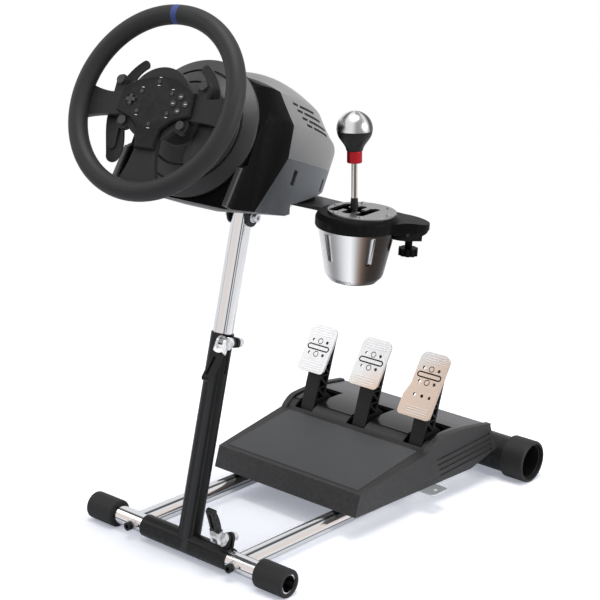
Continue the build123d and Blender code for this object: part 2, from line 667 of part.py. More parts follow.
VENTS = [(87, 79, -178, 50), (92, 72, -186, 56), (97, 64, -194, 60), (102, 57, -202, 52)]
VENT_SHORT = 13
VENT_BRIDGE = 3
for x, y, front, run in VENTS:
    for start, length in ((0, VENT_SHORT), (VENT_SHORT + VENT_BRIDGE, run - VENT_SHORT - VENT_BRIDGE)):
        slot = Pos(x, y, front - start - length / 2) * Rot(0, 0, VENT_ANGLE) * Box(16, 4.2, length)
        silver -= slot
        silver -= mirrored(slot)
for y, z, tall, wide in ((-18, -205, 21, 9), (-4, -284, 18, 6)):
    recess = Pos(106, y, z) * Box(18, tall, wide)
    lower -= recess
    lower -= mirrored(recess)
# The chin rises to both sides of the lip.
chin_block = Box(2 * BASE_WIDE, 2 * BASE_WIDE, BASE_WIDE / 2, align=(C, C, LOW))
chin = Plane((CHIN_X, CHIN_Y, LIP_Z), z_dir=CHIN_WAY) * chin_block
chin += mirrored(chin)
# A blade on each side reaches forward past the dome and ends in a grey fin.
blade_knee = (BLADE_TIP - 6, BASE_FRONT + 8)
blade_end = (BLADE_FOOT, BASE_FRONT + 14)
blade_face = loop((BLADE_TIP, BASE_FRONT), blade_knee, blade_end, (BLADE_FOOT, BASE_FRONT))
blade = side(blade_face, BLADE_IN, BLADE_OUT)
fin_knee = (blade_knee[0] - 2, blade_knee[1] + 5)
fin_end = (blade_end[0], blade_end[1] + 5)
fin = side(loop(blade_knee, fin_knee, fin_end, blade_end), BLADE_IN, BLADE_OUT)
carried["base_front"] = WHEEL * ((shell & chevron) + blade + mirrored(blade)) - chin
carried["base_trim"] = WHEEL * (fin + mirrored(fin))
carried["base_shell"] = WHEEL * silver
carried["base_lower"] = WHEEL * lower - chin

# Domed front of the base in three ringed steps round the shaft.
STEP_R = (79.5, 59.5)
STEP_Z = (-89, -79.5)
bore = SHAFT_R + RUN
dome_line = [(bore, BASE_FRONT), (RING_R, BASE_FRONT), (RING_R, BASE_FRONT + RING_THICK)]
for radius, z in zip(STEP_R, STEP_Z):
    inner = radius - GROOVE
    dome_line += [(radius, z), (radius, z - GROOVE), (inner, z - GROOVE), (inner, z + 1)]
dome_line += [(COLLAR_R, COLLAR_FRONT - 5), (COLLAR_R, COLLAR_FRONT), (bore, COLLAR_FRONT)]
carried["wheel_collar"] = WHEEL * turned(*dome_line)

# Steering wheel: gripped rim with a centre stripe, spider, hub plate, buttons, boss and paddles.
rim = {}
ring = revolve(Plane.XZ * (Pos(RIM_R, 0) * Circle(GRIP_R)), Axis.Z)
stripe_section = Plane.XZ * (Pos(RIM_R, 0) * (Circle(GRIP_R) - Circle(GRIP_R - STRIPE_DEEP)))
stripe = Rot(0, 0, 90 - STRIPE_ARC / 2) * revolve(stripe_section, Axis.Z, revolution_arc=STRIPE_ARC)
rim["rim_grip"] = ring - stripe
rim["rim_stripe"] = stripe

SPOKE_END = RIM_R - GRIP_R / 3
SPOKE_HIGH = 21
SPOKE_LOW = -27
spoke_top = Spline((HUB_HALF - 14, 15), (HUB_HALF + 20, 11.5), (SPOKE_END, SPOKE_HIGH))
spoke_low = Spline((SPOKE_END, SPOKE_LOW), (HUB_HALF + 20, -20), (HUB_HALF - 14, -20))
spoke = make_face(spoke_top + Line((SPOKE_END, SPOKE_HIGH), (SPOKE_END, SPOKE_LOW)) + spoke_low
                  + Line((HUB_HALF - 14, -20), (HUB_HALF - 14, 15)))
low_right = Spline((16, 20 - HUB_NECK), (20, -HUB_NECK - 14), (36, -SPOKE_END))
low_left = Spline((-36, -SPOKE_END), (-20, -HUB_NECK - 14), (-16, 20 - HUB_NECK))
low_spoke = make_face(low_right + Line((36, -SPOKE_END), (-36, -SPOKE_END)) + low_left
                      + Line((-16, 20 - HUB_NECK), (16, 20 - HUB_NECK)))
TRIGGER = (66, 28)
THUMB = (46.5, -27)
lug = Pos(*TRIGGER) * Circle(8)
lug += loop((58, 8), (74, 8), (TRIGGER[0] + 8, TRIGGER[1]), (TRIGGER[0] - 8, TRIGGER[1]))
lug += Pos(*THUMB) * Circle(11)
spider = spoke + mirrored(spoke) + low_spoke + Circle(50) + lug + mirrored(lug)
rim["wheel_spider"] = raised(spider, SPIDER_BACK, SPIDER_FRONT) - ring

crown = ThreePointArc((HUB_HALF - 1, 17), (0, HUB_TOP), (1 - HUB_HALF, 17))
skirt = Polyline((1 - HUB_HALF, 17), (-HUB_HALF, -15), (-34, -24), (-20, -36), (-15, -HUB_NECK),
                 (15, -HUB_NECK), (20, -36), (34, -24), (HUB_HALF, -15), (HUB_HALF - 1, 17))
shield = make_face(crown + skirt)
hub = raised(shield, SPIDER_FRONT, HUB_FACE)
hub = chamfer(hub.faces().sort_by(Axis.Z)[-1].edges(), HUB_EDGE)
SMALL = [(0, 28), (-24, 13), (24, 13), (-24, -14), (24, -14), (0, -30)]
FACE_AT = 39.5
FACE_STEP = 9.7
FOUR = [(FACE_AT, FACE_STEP), (FACE_AT - FACE_STEP, 0), (FACE_AT + FACE_STEP, 0), (FACE_AT, -FACE_STEP)]
PAD_AT = (-38, 1)
SEAT_DEEP = 3
button_top = HUB_FACE + BUTTON_RISE
buttons = Pos(*PAD_AT, HUB_FACE - SEAT_DEEP) * Cylinder(8.5, SEAT_DEEP - 1, align=(C, C, LOW))
pad_tall = SEAT_DEEP + BUTTON_RISE
buttons += Pos(*PAD_AT, HUB_FACE - SEAT_DEEP) * (Box(14, 4.6, pad_tall, align=(C, C, LOW))
                                                 + Box(4.6, 14, pad_tall, align=(C, C, LOW)))
hub -= Pos(*PAD_AT, HUB_FACE - SEAT_DEEP) * Cylinder(8.8, 3 * SEAT_DEEP, align=(C, C, LOW))
for radius, spots in ((2.8, SMALL), (4.2, FOUR)):
    for x, y in spots:
        buttons += Pos(x, y, HUB_FACE - SEAT_DEEP) * Cylinder(radius, pad_tall - 1, align=(C, C, LOW))
        hub -= Pos(x, y, HUB_FACE - SEAT_DEEP) * Cylinder(radius + 0.3, 3 * SEAT_DEEP, align=(C, C, LOW))
for x, y in (TRIGGER, THUMB):
    for sign in (-1, 1):
        buttons += Pos(sign * x, y, SPIDER_FRONT) * Cylinder(6, 4, align=(C, C, LOW))
rim["hub_plate"] = hub
rim["hub_buttons"] = buttons

boss = Pos(0, 0, BOSS_BACK) * Cylinder(BOSS_R, SPIDER_BACK - BOSS_BACK, align=(C, C, LOW))
boss += Pos(0, 0, SHAFT_BACK) * Cylinder(SHAFT_R, BOSS_BACK - SHAFT_BACK + 1, align=(C, C, LOW))
hinge_end = PADDLE_HINGE_HALF + 7
pin = rod((PADDLE_PIN_X, -hinge_end, PADDLE_PIN_Z), (PADDLE_PIN_X, hinge_end, PADDLE_PIN_Z), PADDLE_PIN_R)
lug = block(BOSS_R - 6, PADDLE_PIN_X + 5, PADDLE_HINGE_HALF + 1, hinge_end, PADDLE_PIN_Z - 5, SPIDER_BACK)
arms = lug + mirror(lug, about=Plane.XZ) + pin
rim["wheel_boss"] = boss + arms + mirrored(arms)

outer_edge = Spline((51, 63), (70, 45), (86, 8), (88, -22), (82, -46), (74, -70))
foot_edge = ThreePointArc((74, -70), (64, -80), (53, -74))
inner_edge = Spline((53, -74), (50, -58), (55, -36), (60, -16))
upper_edge = Spline((60, 16), (58, 34), (42, 53))
tip_edge = ThreePointArc((42, 53), (43.5, 60), (51, 63))
TAB_X = PADDLE_PIN_X + 8
tab = Polyline((60, -16), (TAB_X, -PADDLE_HINGE_HALF), (PADDLE_PIN_X, -PADDLE_HINGE_HALF),
               (PADDLE_PIN_X, PADDLE_HINGE_HALF), (TAB_X, PADDLE_HINGE_HALF), (60, 16))
paddle_face = make_face(outer_edge + foot_edge + inner_edge + tab + upper_edge + tip_edge)
paddle = raised(paddle_face, PADDLE_PIN_Z - PADDLE_THICK / 2, PADDLE_PIN_Z + PADDLE_THICK / 2)
pad_outer = Spline((86, -21), (80, -44), (72, -60))
pad_end = ThreePointArc((72, -60), (66, -63), (61, -57))
pad_inner = Spline((61, -57), (61.5, -40), (62, -21))
pad = make_face(pad_outer + pad_end + pad_inner + Line((62, -21), (86, -21)))
paddle += raised(pad, PADDLE_PIN_Z, PADDLE_PIN_Z + PADDLE_THICK / 2 + PAD_RISE)
hinge_low = (PADDLE_PIN_X, -PADDLE_HINGE_HALF, PADDLE_PIN_Z)
hinge_high = (PADDLE_PIN_X, PADDLE_HINGE_HALF, PADDLE_PIN_Z)
paddle += rod(hinge_low, hinge_high, PADDLE_PIN_R + 2)
paddle -= rod(hinge_low, hinge_high, PADDLE_PIN_R + PIN_RUN)
rim["paddle_right"] = paddle
rim["paddle_left"] = mirrored(paddle)
for name, shape in rim.items():
    carried[name] = WHEEL * (Rot(0, 0, WHEEL_TURN) * shape)

# Shifter: arm from the plate, clamp, housing, steel bucket, gate, gimbal and lever.
arm_sketch = loop((50, 96), (128, 96), (165, ARM_NEAR), (SHIFT_X, ARM_NEAR), (SHIFT_X, ARM_FAR), (50, 156))
lobe_low = SHIFT_R + 5
lobe_end = LOBE_AT + LOBE_R - 10
tongue = loop((-LOBE_R, lobe_low), (LOBE_R, lobe_low), (LOBE_R - 10, lobe_end), (10 - LOBE_R, lobe_end))
arm_sketch += Pos(SHIFT_X, SHIFT_Y) * Rot(0, 0, LOBE_TURN) * tongue
arm_sketch += loop((SHIFT_X - 1, ARM_NEAR), (SHIFT_X + 28, ARM_NEAR), (SHIFT_X + 55, SHIFT_Y + 75),
                   (SHIFT_X - 1, ARM_FAR))
arm_sketch -= [Pos(x, y) * Circle(BOLT_R) for x, y in ARM_BOLTS]
carried["shifter_arm"] = raised(arm_sketch, ARM_LOW, PLATE_Z)
under = cap_bolt(HEAD - 1, 2 * PLATE_THICK - 1)
arm_bolts = [Plane((x, y, ARM_LOW), z_dir=(0, 0, -1)) * under for x, y in ARM_BOLTS]
carried["arm_bolts"] = arm_bolts[0] + arm_bolts[1]

SHIFT = Pos(SHIFT_X, SHIFT_Y, 0)
BUCKET_TOP = RING_LOW + LEDGE
CUT_ANGLE = 35


def bucket_form(inset):
    """Bucket as a solid cone with a rounded foot and a slanting cut, drawn in by a wall."""
    cone = turned((0, BUCKET_LOW + inset), (26 - inset, BUCKET_LOW + inset),
                  (33 - inset, BUCKET_LOW + 2.5 + inset),
                  (BUCKET_FOOT_R - inset, BUCKET_LOW + 10 + inset / 2),
                  (BUCKET_R - inset, BUCKET_TOP), (0, BUCKET_TOP))
    slant = 1.25 * inset - 5
    corner = loop((60, BUCKET_LOW + 34 + slant), (10, BUCKET_LOW - 4 + slant), (60, BUCKET_LOW - 4 + slant))
    wedge = extrude(Plane.XZ * corner, amount=60, both=True)
    return cone - Rot(0, 0, CUT_ANGLE) * wedge


pockets = [Rot(0, 0, 360 * (step + 0.5) / POCKETS - 54) for step in range(POCKETS)]
pocket_face = loop((-6, BUCKET_TOP - 11), (6, BUCKET_TOP - 11), (3, BUCKET_TOP - 48), (-3, BUCKET_TOP - 48))
pocket = extrude(Plane.XZ * pocket_face, amount=2 * BUCKET_R, dir=(0, -1, 0))
skin = bucket_form(0) - bucket_form(POCKET_DEEP)
bucket = bucket_form(0) - bucket_form(BUCKET_WALL)
for place in pockets:
    bucket -= skin & (place * pocket)
carried["shifter_bucket"] = SHIFT * bucket

housing = turned((BUCKET_R, RING_LOW), (SHIFT_R - 1, RING_LOW), (SHIFT_R, RING_LOW + 2),
                 (SHIFT_R, GATE_Z - 7), (SHIFT_R - 2, GATE_Z - 2.5), (SHIFT_R - 5, GATE_Z),
                 (LEDGE_R, GATE_Z), (LEDGE_R, BUCKET_TOP), (BUCKET_R, BUCKET_TOP))
jaw_far = LOBE_AT + LOBE_R
jaw_plan = loop((3 - SHIFT_R, 12), (SHIFT_R - 3, 12), (LOBE_R, LOBE_AT), (-LOBE_R, LOBE_AT))
jaw_plan += Pos(0, LOBE_AT) * Circle(LOBE_R)
jaw = raised(jaw_plan, PLATE_Z, GATE_Z)
jaw &= side(loop((0, PLATE_Z), (jaw_far, PLATE_Z), (jaw_far, GATE_Z - 13), (SHIFT_R, GATE_Z - 6),
                 (0, GATE_Z - 6)), -SHIFT_R, SHIFT_R)
jaw -= Pos(0, 0, PLATE_Z) * Cylinder(SHIFT_R - 1.5, GATE_Z, align=(C, C, LOW))
jaw -= Pos(0, 0, PLATE_Z) * Cylinder(SHIFT_R + 1, RING_LOW - PLATE_Z, align=(C, C, LOW))
carried["shifter_housing"] = SHIFT * (housing + Rot(0, 0, LOBE_TURN) * jaw)

JAW_PAD = 8
SCREW = 14
WING = 10
lower_jaw = Pos(0, LOBE_AT, ARM_LOW - JAW_PAD) * Box(40, 24, JAW_PAD, align=(C, C, LOW))
lower_jaw += rod((0, LOBE_AT, ARM_LOW - JAW_PAD - SCREW), (0, LOBE_AT, ARM_LOW - JAW_PAD), 5)
wing = Cylinder(13, WING, align=(C, C, LOW))
for step in range(10):
    wing -= Rot(0, 0, 36 * step) * Pos(14, 0, 0) * Cylinder(2.4, 3 * WING)
lower_jaw += Pos(0, LOBE_AT, ARM_LOW - JAW_PAD - SCREW - WING) * wing
carried["shifter_clamp"] = SHIFT * (Rot(0, 0, LOBE_TURN) * lower_jaw)

gate_sketch = Pos(GATE_ASIDE, GATE_ASIDE) * Circle(GATE_R)
neutral = -(GATE_Z + GATE_THICK / 2 - GIMBAL_Z) * tan(radians(STICK_LEAN))
gate_sketch -= Pos(neutral, 0) * RectangleRounded(2 * (GATE_PITCH + SLOT_HALF), 2 * SLOT_HALF, 4)
for column in (-GATE_PITCH, 0, GATE_PITCH):
    slot = RectangleRounded(2 * SLOT_HALF, 2 * (GATE_REACH + SLOT_HALF), 5)
    gate_sketch -= Pos(neutral + column, 0) * slot
gate = raised(gate_sketch, GATE_Z, GATE_Z + GATE_THICK)
for turn in range(6):
    stud = Pos(GATE_R - 5.5, 0, GATE_Z + 2) * Cylinder(STUD_R, STUD_TALL, align=(C, C, LOW))
    gate += Pos(GATE_ASIDE, GATE_ASIDE, 0) * (Rot(0, 0, 60 * turn) * stud)
carried["shifter_gate"] = SHIFT * gate

FLOOR = BUCKET_LOW + BUCKET_WALL
CRADLE_Y = 19.8
cradle = Pos(0, 0, FLOOR) * Cylinder(22, 4, align=(C, C, LOW))
for y in (-CRADLE_Y, CRADLE_Y):
    cradle += Pos(0, y, FLOOR) * Box(12, 4, GIMBAL_Z - FLOOR + 7, align=(C, C, LOW))
cradle -= rod((0, -2 * CRADLE_Y, GIMBAL_Z), (0, 2 * CRADLE_Y, GIMBAL_Z), 3 + PIN_RUN)
carried["shifter_cradle"] = SHIFT * (cradle & bucket_form(BUCKET_WALL))

gimbal = Box(32, 32, 7) - Box(24, 24, 10)
gimbal += rod((0, -21, 0), (0, -14, 0), 3) + rod((0, 14, 0), (0, 21, 0), 3)
gimbal -= rod((-30, 0, 0), (30, 0, 0), 2.5 + PIN_RUN)
stick = rod((0, 0, 0), (0, 0, KNOB_LOW - 1 - GIMBAL_Z), STICK_R)
stick += rod((-15.5, 0, 0), (15.5, 0, 0), 2.5)
stick += Sphere(7)
neck = KNOB_LOW - GIMBAL_Z
foot = COLLAR_LOW - GIMBAL_Z
seam_z = KNOB_SEAM - GIMBAL_Z
top_z = KNOB_TOP - GIMBAL_Z
collar = turned((STICK_R, foot), (9.5, foot), (10, foot + 1), (10, neck - 1), (9.5, neck), (STICK_R, neck))
cone_side = Spline((10.8, neck), (13.5, neck + 7), (20.5, neck + 17), (KNOB_R - 0.6, seam_z))
cone_rest = Polyline((KNOB_R - 0.6, seam_z), (0, seam_z), (0, neck - 1), (STICK_R, neck - 1),
                     (STICK_R, neck), (10.8, neck))
cone = revolve(Plane.XZ * make_face(cone_side + cone_rest), Axis.Z)
ball_z = top_z - KNOB_R
ball_low = ((KNOB_R**2 - (seam_z - ball_z) ** 2) ** 0.5, seam_z)
ball_side = (KNOB_R * cos(pi / 4), ball_z + KNOB_R * sin(pi / 4))
cap_side = ThreePointArc(ball_low, ball_side, (0, top_z))
cap_rest = Polyline((0, top_z), (0, seam_z), ball_low)
cap = revolve(Plane.XZ * make_face(cap_side + cap_rest), Axis.Z)
lever = {
    "shifter_gimbal": gimbal,
    "gear_stick": stick,
    "gear_collar": collar,
    "gear_knob_base": cone,
    "gear_knob_cap": cap,
}
for name, shape in lever.items():
    carried[name] = Pos(SHIFT_X, SHIFT_Y, GIMBAL_Z) * (Rot(0, -STICK_LEAN, 0) * shape)

# The column is turned in its clamp, and the whole is set over the origin.
post_axis = Axis((0, 0, FRONT_Z), (0, sin(lean), cos(lean)))
for name, shape in carried.items():
    nodes[name] = shape.rotate(post_axis, COLUMN_TURN)
middle = Compound(list(nodes.values())).bounding_box().center()
for name, shape in nodes.items():
    export_step(Pos(-middle.X, -middle.Y, 0) * shape, f"parts/{name}.step")
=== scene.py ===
"""Racing wheel stand: its finishes, its small fittings, its light and its view."""

import json
from math import cos, pi, radians, sin

import bmesh
import bpy
from mathutils import Matrix, Vector


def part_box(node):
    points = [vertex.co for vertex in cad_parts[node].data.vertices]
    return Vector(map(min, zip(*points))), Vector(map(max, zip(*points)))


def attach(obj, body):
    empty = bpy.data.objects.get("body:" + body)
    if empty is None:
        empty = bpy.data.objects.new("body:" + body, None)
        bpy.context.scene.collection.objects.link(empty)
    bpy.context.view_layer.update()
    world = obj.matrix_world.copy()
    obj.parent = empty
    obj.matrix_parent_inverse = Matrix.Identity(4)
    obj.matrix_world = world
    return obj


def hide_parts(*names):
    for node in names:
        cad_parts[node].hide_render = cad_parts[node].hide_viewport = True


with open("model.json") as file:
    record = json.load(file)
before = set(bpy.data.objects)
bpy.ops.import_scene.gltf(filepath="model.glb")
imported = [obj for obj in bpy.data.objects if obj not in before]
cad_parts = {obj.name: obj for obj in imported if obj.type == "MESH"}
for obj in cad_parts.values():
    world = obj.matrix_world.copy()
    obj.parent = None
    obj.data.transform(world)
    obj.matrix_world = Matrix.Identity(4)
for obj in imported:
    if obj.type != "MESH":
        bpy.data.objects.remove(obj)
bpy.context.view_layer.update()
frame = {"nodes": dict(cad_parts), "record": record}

MM = 0.001
UP = Vector((0, 0, 1))
RECORD = frame["record"]
BODY_OF = {node: body for body, held in RECORD["behaviour"]["bodies"].items() for node in held}
SLOT_OF = {part["node"]: part["material_slot"] for part in RECORD["subparts"]}


def middle(node):
    """Middle of a solid's box."""
    low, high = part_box(node)
    return (Vector(low) + Vector(high)) / 2


# Places: the drawing's millimetres are counted from the floor under the front tube's middle.
FRONT = Vector((*middle("front_tube")[:2], 0))
TUBE_Z = 21
POST_LEAN = radians(12)
COLUMN_TURN = radians(6.5)
WHEEL_CENTRE = (0, -107, 684.5)
WHEEL_TILT = radians(62.5)
WHEEL_TURN = radians(4.2)
SHIFTER_XY = (227.5, 39)
LEVER_Z = 477
LEVER_LEAN = radians(-4)
LOBE_Z = 532
LOBE_TURN = radians(-45)
PEDAL_Y = 401
PEDAL_Z = 156.5
PEDAL_TILT = radians(59)
PEDALS = {"clutch": (-109, 54, 84), "brake": (0, 57, 87), "throttle": (114, 55, 90)}  # x, width, height
CLAMP_PINS = ((23, 304), (73, 30))  # x and the way up the post
CLAMP_PIN_Y = -19.5


def at(x, y, z):
    """Point of the drawing in the frame."""
    return FRONT + Vector((x, y, z)) * MM


def cam_pin(x, up):
    """Middle of a clamp's cross pin, in front of the leaning post."""
    y = CLAMP_PIN_Y
    return at(x, y * cos(POST_LEAN) + up * sin(POST_LEAN),
              TUBE_Z - y * sin(POST_LEAN) + up * cos(POST_LEAN))


post_way = Vector((0, sin(POST_LEAN), cos(POST_LEAN)))
post_foot = Matrix.Translation(at(0, 0, TUBE_Z))
column_turn = post_foot @ Matrix.Rotation(COLUMN_TURN, 4, post_way) @ post_foot.inverted()
wheel_place = (column_turn @ Matrix.Translation(at(*WHEEL_CENTRE))
               @ Matrix.Rotation(WHEEL_TILT, 4, "X") @ Matrix.Rotation(WHEEL_TURN, 4, "Z"))
lever_place = (column_turn @ Matrix.Translation(at(*SHIFTER_XY, LEVER_Z))
               @ Matrix.Rotation(LEVER_LEAN, 4, "Y"))
lobe_place = (column_turn @ Matrix.Translation(at(*SHIFTER_XY, LOBE_Z))
              @ Matrix.Rotation(LOBE_TURN, 4, "Z"))
pedal_place = {name: Matrix.Translation(at(x, PEDAL_Y, PEDAL_Z)) @ Matrix.Rotation(PEDAL_TILT, 4, "X")
               for name, (x, _, _) in PEDALS.items()}

# The side that the photograph shows: towards its camera, to its right, and right across the post.
AZIMUTH = radians(41.02)
TOWARD = Vector((sin(AZIMUTH), -cos(AZIMUTH), 0))
RIGHT = Vector((cos(AZIMUTH), sin(AZIMUTH), 0))
ACROSS_POST = (RIGHT - RIGHT.dot(post_way) * post_way).normalized()


# Finishes: a wire is one socket, and sums and products of wires add the nodes they need.
class Wire:
    """One socket of a finish, for use in sums."""

    def __init__(self, finish, socket):
        self.finish = finish
        self.socket = socket

    def __add__(self, other):
        return self.finish.maths("ADD", self, other)

    def __sub__(self, other):
        return self.finish.maths("SUBTRACT", self, other)

    def __rsub__(self, other):
        return self.finish.maths("SUBTRACT", other, self)

    def __mul__(self, other):
        return self.finish.maths("MULTIPLY", self, other)

    __radd__ = __add__


class Finish:
    """A material whose surface is built up node by node."""

    BAND_CORE = 0.4
    RUBBED_EDGE = (0.515, 0.56)

    def __init__(self, name):
        self.material = bpy.data.materials.new(name)
        self.material.use_nodes = True
        self.tree = self.material.node_tree
        self.shader = self.tree.nodes["Principled BSDF"]
        self.where = self.node("ShaderNodeTexCoord", {}, {}, "Object")

    def node(self, kind, settings, sockets, output=0):
        """A node of any kind: its settings first, then its sockets."""
        made = self.tree.nodes.new(kind)
        for name, value in settings.items():
            setattr(made, name, value)
        for name, value in sockets.items():
            self.join(value, made.inputs[name])
        return Wire(self, made.outputs[output])

    def join(self, value, socket):
        """Links a wire to a socket, or writes a plain value there."""
        if isinstance(value, Wire):
            self.tree.links.new(value.socket, socket)
        else:
            socket.default_value = value

    def maths(self, operation, first, second=0.0):
        return self.node("ShaderNodeMath", {"operation": operation}, {0: first, 1: second})

    def vectors(self, operation, first, second, output=0):
        return self.node("ShaderNodeVectorMath", {"operation": operation},
                         {0: first, 1: second}, output)

    def along(self, start, way):
        """How far a point lies from a start, counted along a direction."""
        offset = self.vectors("SUBTRACT", self.where, tuple(start))
        return self.vectors("DOT_PRODUCT", offset, tuple(way), "Value")

    def away(self, start):
        """How far a point lies from a start in any direction."""
        return self.vectors("DISTANCE", self.where, tuple(start), "Value")

    def around(self, centre):
        """Angle about an upright line, from the side the photograph shows."""
        return self.maths("ARCTAN2", self.along(centre, RIGHT), self.along(centre, TOWARD))

    def band(self, value, centre, half):
        """Soft stripe round one value of a wire."""
        return self.between(self.maths("ABSOLUTE", value - centre), half, half * self.BAND_CORE)

    def cloud(self, scale, detail=2.0, stretch=(1, 1, 1)):
        """Soft noise, so many spots to a metre, drawn out along an axis by a small stretch there."""
        place = self.node("ShaderNodeMapping", {}, {"Vector": self.where, "Scale": stretch})
        return self.node("ShaderNodeTexNoise", {}, {"Vector": place, "Scale": scale, "Detail": detail})

    def pips(self, scale):
        """Rounded cells, so many to a metre."""
        return self.node("ShaderNodeTexVoronoi", {"feature": "SMOOTH_F1"},
                         {"Vector": self.where, "Scale": scale, "Smoothness": 0.4}, "Distance")

    def between(self, value, low, high):
        """A wire's stretch from low to high, spread from 0 to 1."""
        return self.node("ShaderNodeMapRange", {"clamp": True},
                         {"Value": value, "From Min": low, "From Max": high})

    def rubbed(self):
        """Outer edges, where hands and feet rub."""
        sharp = self.node("ShaderNodeNewGeometry", {}, {}, "Pointiness")
        return self.between(sharp, *self.RUBBED_EDGE) * self.cloud(160, 4)

    def blend(self, share, first, second):
        """Mix of two colours."""
        return self.node("ShaderNodeMix", {"data_type": "RGBA"}, {0: share, 6: first, 7: second}, 2)

    def bump(self, height, rise):
        """Relief of so many millimetres."""
        return self.node("ShaderNodeBump", {},
                         {"Height": height, "Distance": rise * MM, "Strength": 1.0})

    def surface(self, **sockets):
        """Fills the shader's sockets and hands over the material."""
        for name, value in sockets.items():
            self.join(value, self.shader.inputs[name.replace("_", " ")])
        return self.material


def grey(value, warm=0.0):
    """A grey, a little to the warm side or, below zero, to the blue."""
    return (value * (1 + warm), value, value * (1 - warm), 1)


# Painted reflections and highlights by place: middle and half width across a piece in metres, and how
# light they are.
# Painted reflections on the low chrome tubes and the slider: dark streaks and a warm band.
LOW_PAINTED_REFLECTIONS = ((0.0125, 0.0012, 0.10), (0.0005, 0.0012, 0.16), (-0.0075, 0.0012, 0.6))
LOW_WARM_REFLECTION = (0.006, 0.005)
SLIDER_PAINTED_REFLECTIONS = ((0.0015, 0.0011, 0.12), (0.0042, 0.0008, 0.2), (-0.0105, 0.0008, 0.65))
SLIDER_WARM_REFLECTION = (-0.0055, 0.004)
# Painted highlight up one side of the post.
POST_PAINTED_SHEEN = (-0.005, 0.006)
STICK_PAINTED_REFLECTION = (0.0006, 0.0022)
KNOB_PAINTED_REFLECTIONS = ((-0.95, 0.30, 0.16), (0.22, 0.42, 0.36), (1.15, 0.45, 0.08))  # in radians

# Borders of a colour: where a wire's stretch starts and where it ends, in metres.
BOLT_HEAD_Y = -18.6
BOLT_BORDER = (0, 0.0001)
CAM_BORDER = (0.0185, 0.0195)
PEDAL_WARM_START = (0, PEDAL_Y, 157)
PEDAL_WARM_WAY = (1, 0, -2.2)
PEDAL_WARM_BORDER = (-0.075, 0.0)
# Painted highlight on the pedal ribs.
PEDAL_RIB_HIGHLIGHT_BORDER = (0.0041, 0.0045)
# Painted light on the wheel base's shell and lower housing.
SHELL_PAINTED_LIGHT_WAY = RIGHT + 0.6 * UP
SHELL_PAINTED_LIGHT_BORDER = (0.04, 0.16)
LOWER_PAINTED_LIGHT_BORDER = (0.06, 0.15)

# Bucket: its painted reflections, painted dark side and painted shade in its pockets, by the angle from
# the photograph's side, in radians.
BUCKET_REFLECTION_STREAKS = 5.3
BUCKET_REFLECTION_START = 1.06
BUCKET_SHADED_SIDE = (0.5, -0.2)
BUCKET_WARM_REFLECTION = (-0.1, 0.15)
POCKETS = 5
POCKET_START = 0.916
POCKET_HALF = 0.13
POCKET_SHADE_AND_HIGHLIGHT = (-0.01, 0.06)
POCKET_TOP = (0.0115, 0.0125)
POCKET_FOOT = (0.0485, 0.0475)


def chrome_tube(name, start, across, reflection_stripes, warm):
    """Chrome with painted reflections: thin dark streaks and a warm one that run along a round tube."""
    f = Finish(name)
    haze = f.cloud(38, 4)
    smear = f.cloud(210, 3, (1, 1, 0.12))
    side = f.along(start, across)
    metal = f.blend(haze, grey(0.86, -0.01), grey(0.95))
    # Painted reflection: a warm band along one side of the tube.
    metal = f.blend(f.band(side, *warm) * 0.55, metal, (0.93, 0.78, 0.68, 1))
    # Painted reflections: thin dark streaks along the tube.
    for centre, half, level in reflection_stripes:
        metal = f.blend(f.band(side, centre, half), metal, grey(level, -0.03))
    return f.surface(Base_Color=metal, Metallic=1.0,
                     Roughness=0.07 + haze * 0.05 + smear * 0.05,
                     Normal=f.bump(f.cloud(900, 2), 0.01))


def powder_coat():
    """Black coat with a painted pale sheen, a highlight painted up one side of the post."""
    f = Finish("black_powder_coat")
    orange_peel = f.cloud(620, 2)
    dust = f.cloud(24, 5)
    coat = f.blend(dust, grey(0.004), grey(0.008))
    # Painted highlight: a pale streak up one side of the post.
    painted_sheen = f.band(f.along(at(0, 0, TUBE_Z), ACROSS_POST), *POST_PAINTED_SHEEN)
    coat = f.blend(painted_sheen * 0.7, coat, grey(0.05, -0.02))
    return f.surface(Base_Color=f.blend(f.rubbed(), coat, grey(0.05)),
                     Roughness=0.24 + dust * 0.12, Specular_IOR_Level=0.18,
                     Normal=f.bump(orange_peel, 0.05))


def foot_rubber():
    f = Finish("foot_rubber")
    grain = f.cloud(900, 3)
    bloom = f.cloud(46, 5)
    return f.surface(Base_Color=f.blend(bloom, grey(0.010), grey(0.020)),
                     Roughness=0.5 + bloom * 0.2, Specular_IOR_Level=0.35,
                     Normal=f.bump(grain, 0.10))


def zinc_plate():
    f = Finish("zinc_plate")
    spangle = f.pips(330)
    haze = f.cloud(90, 4)
    return f.surface(Base_Color=f.blend(haze, grey(0.70, -0.02), grey(0.90, -0.02)), Metallic=0.7,
                     Roughness=0.20 + spangle * 0.14 + haze * 0.1,
                     Normal=f.bump(spangle, 0.04))


def black_bolt():
    """Black head in front of a bright washer."""
    f = Finish("black_bolt")
    haze = f.cloud(160, 4)
    head = f.between(f.along(at(0, BOLT_HEAD_Y, 0), (0, -1, 0)), *BOLT_BORDER)
    oxide = f.blend(haze, grey(0.004), grey(0.010))
    washer = f.blend(haze, grey(0.6), grey(0.85))
    return f.surface(Base_Color=f.blend(head, washer, oxide), Metallic=1.0 - head,
                     Roughness=0.24 + haze * 0.14, Specular_IOR_Level=0.3,
                     Normal=f.bump(haze, 0.02))


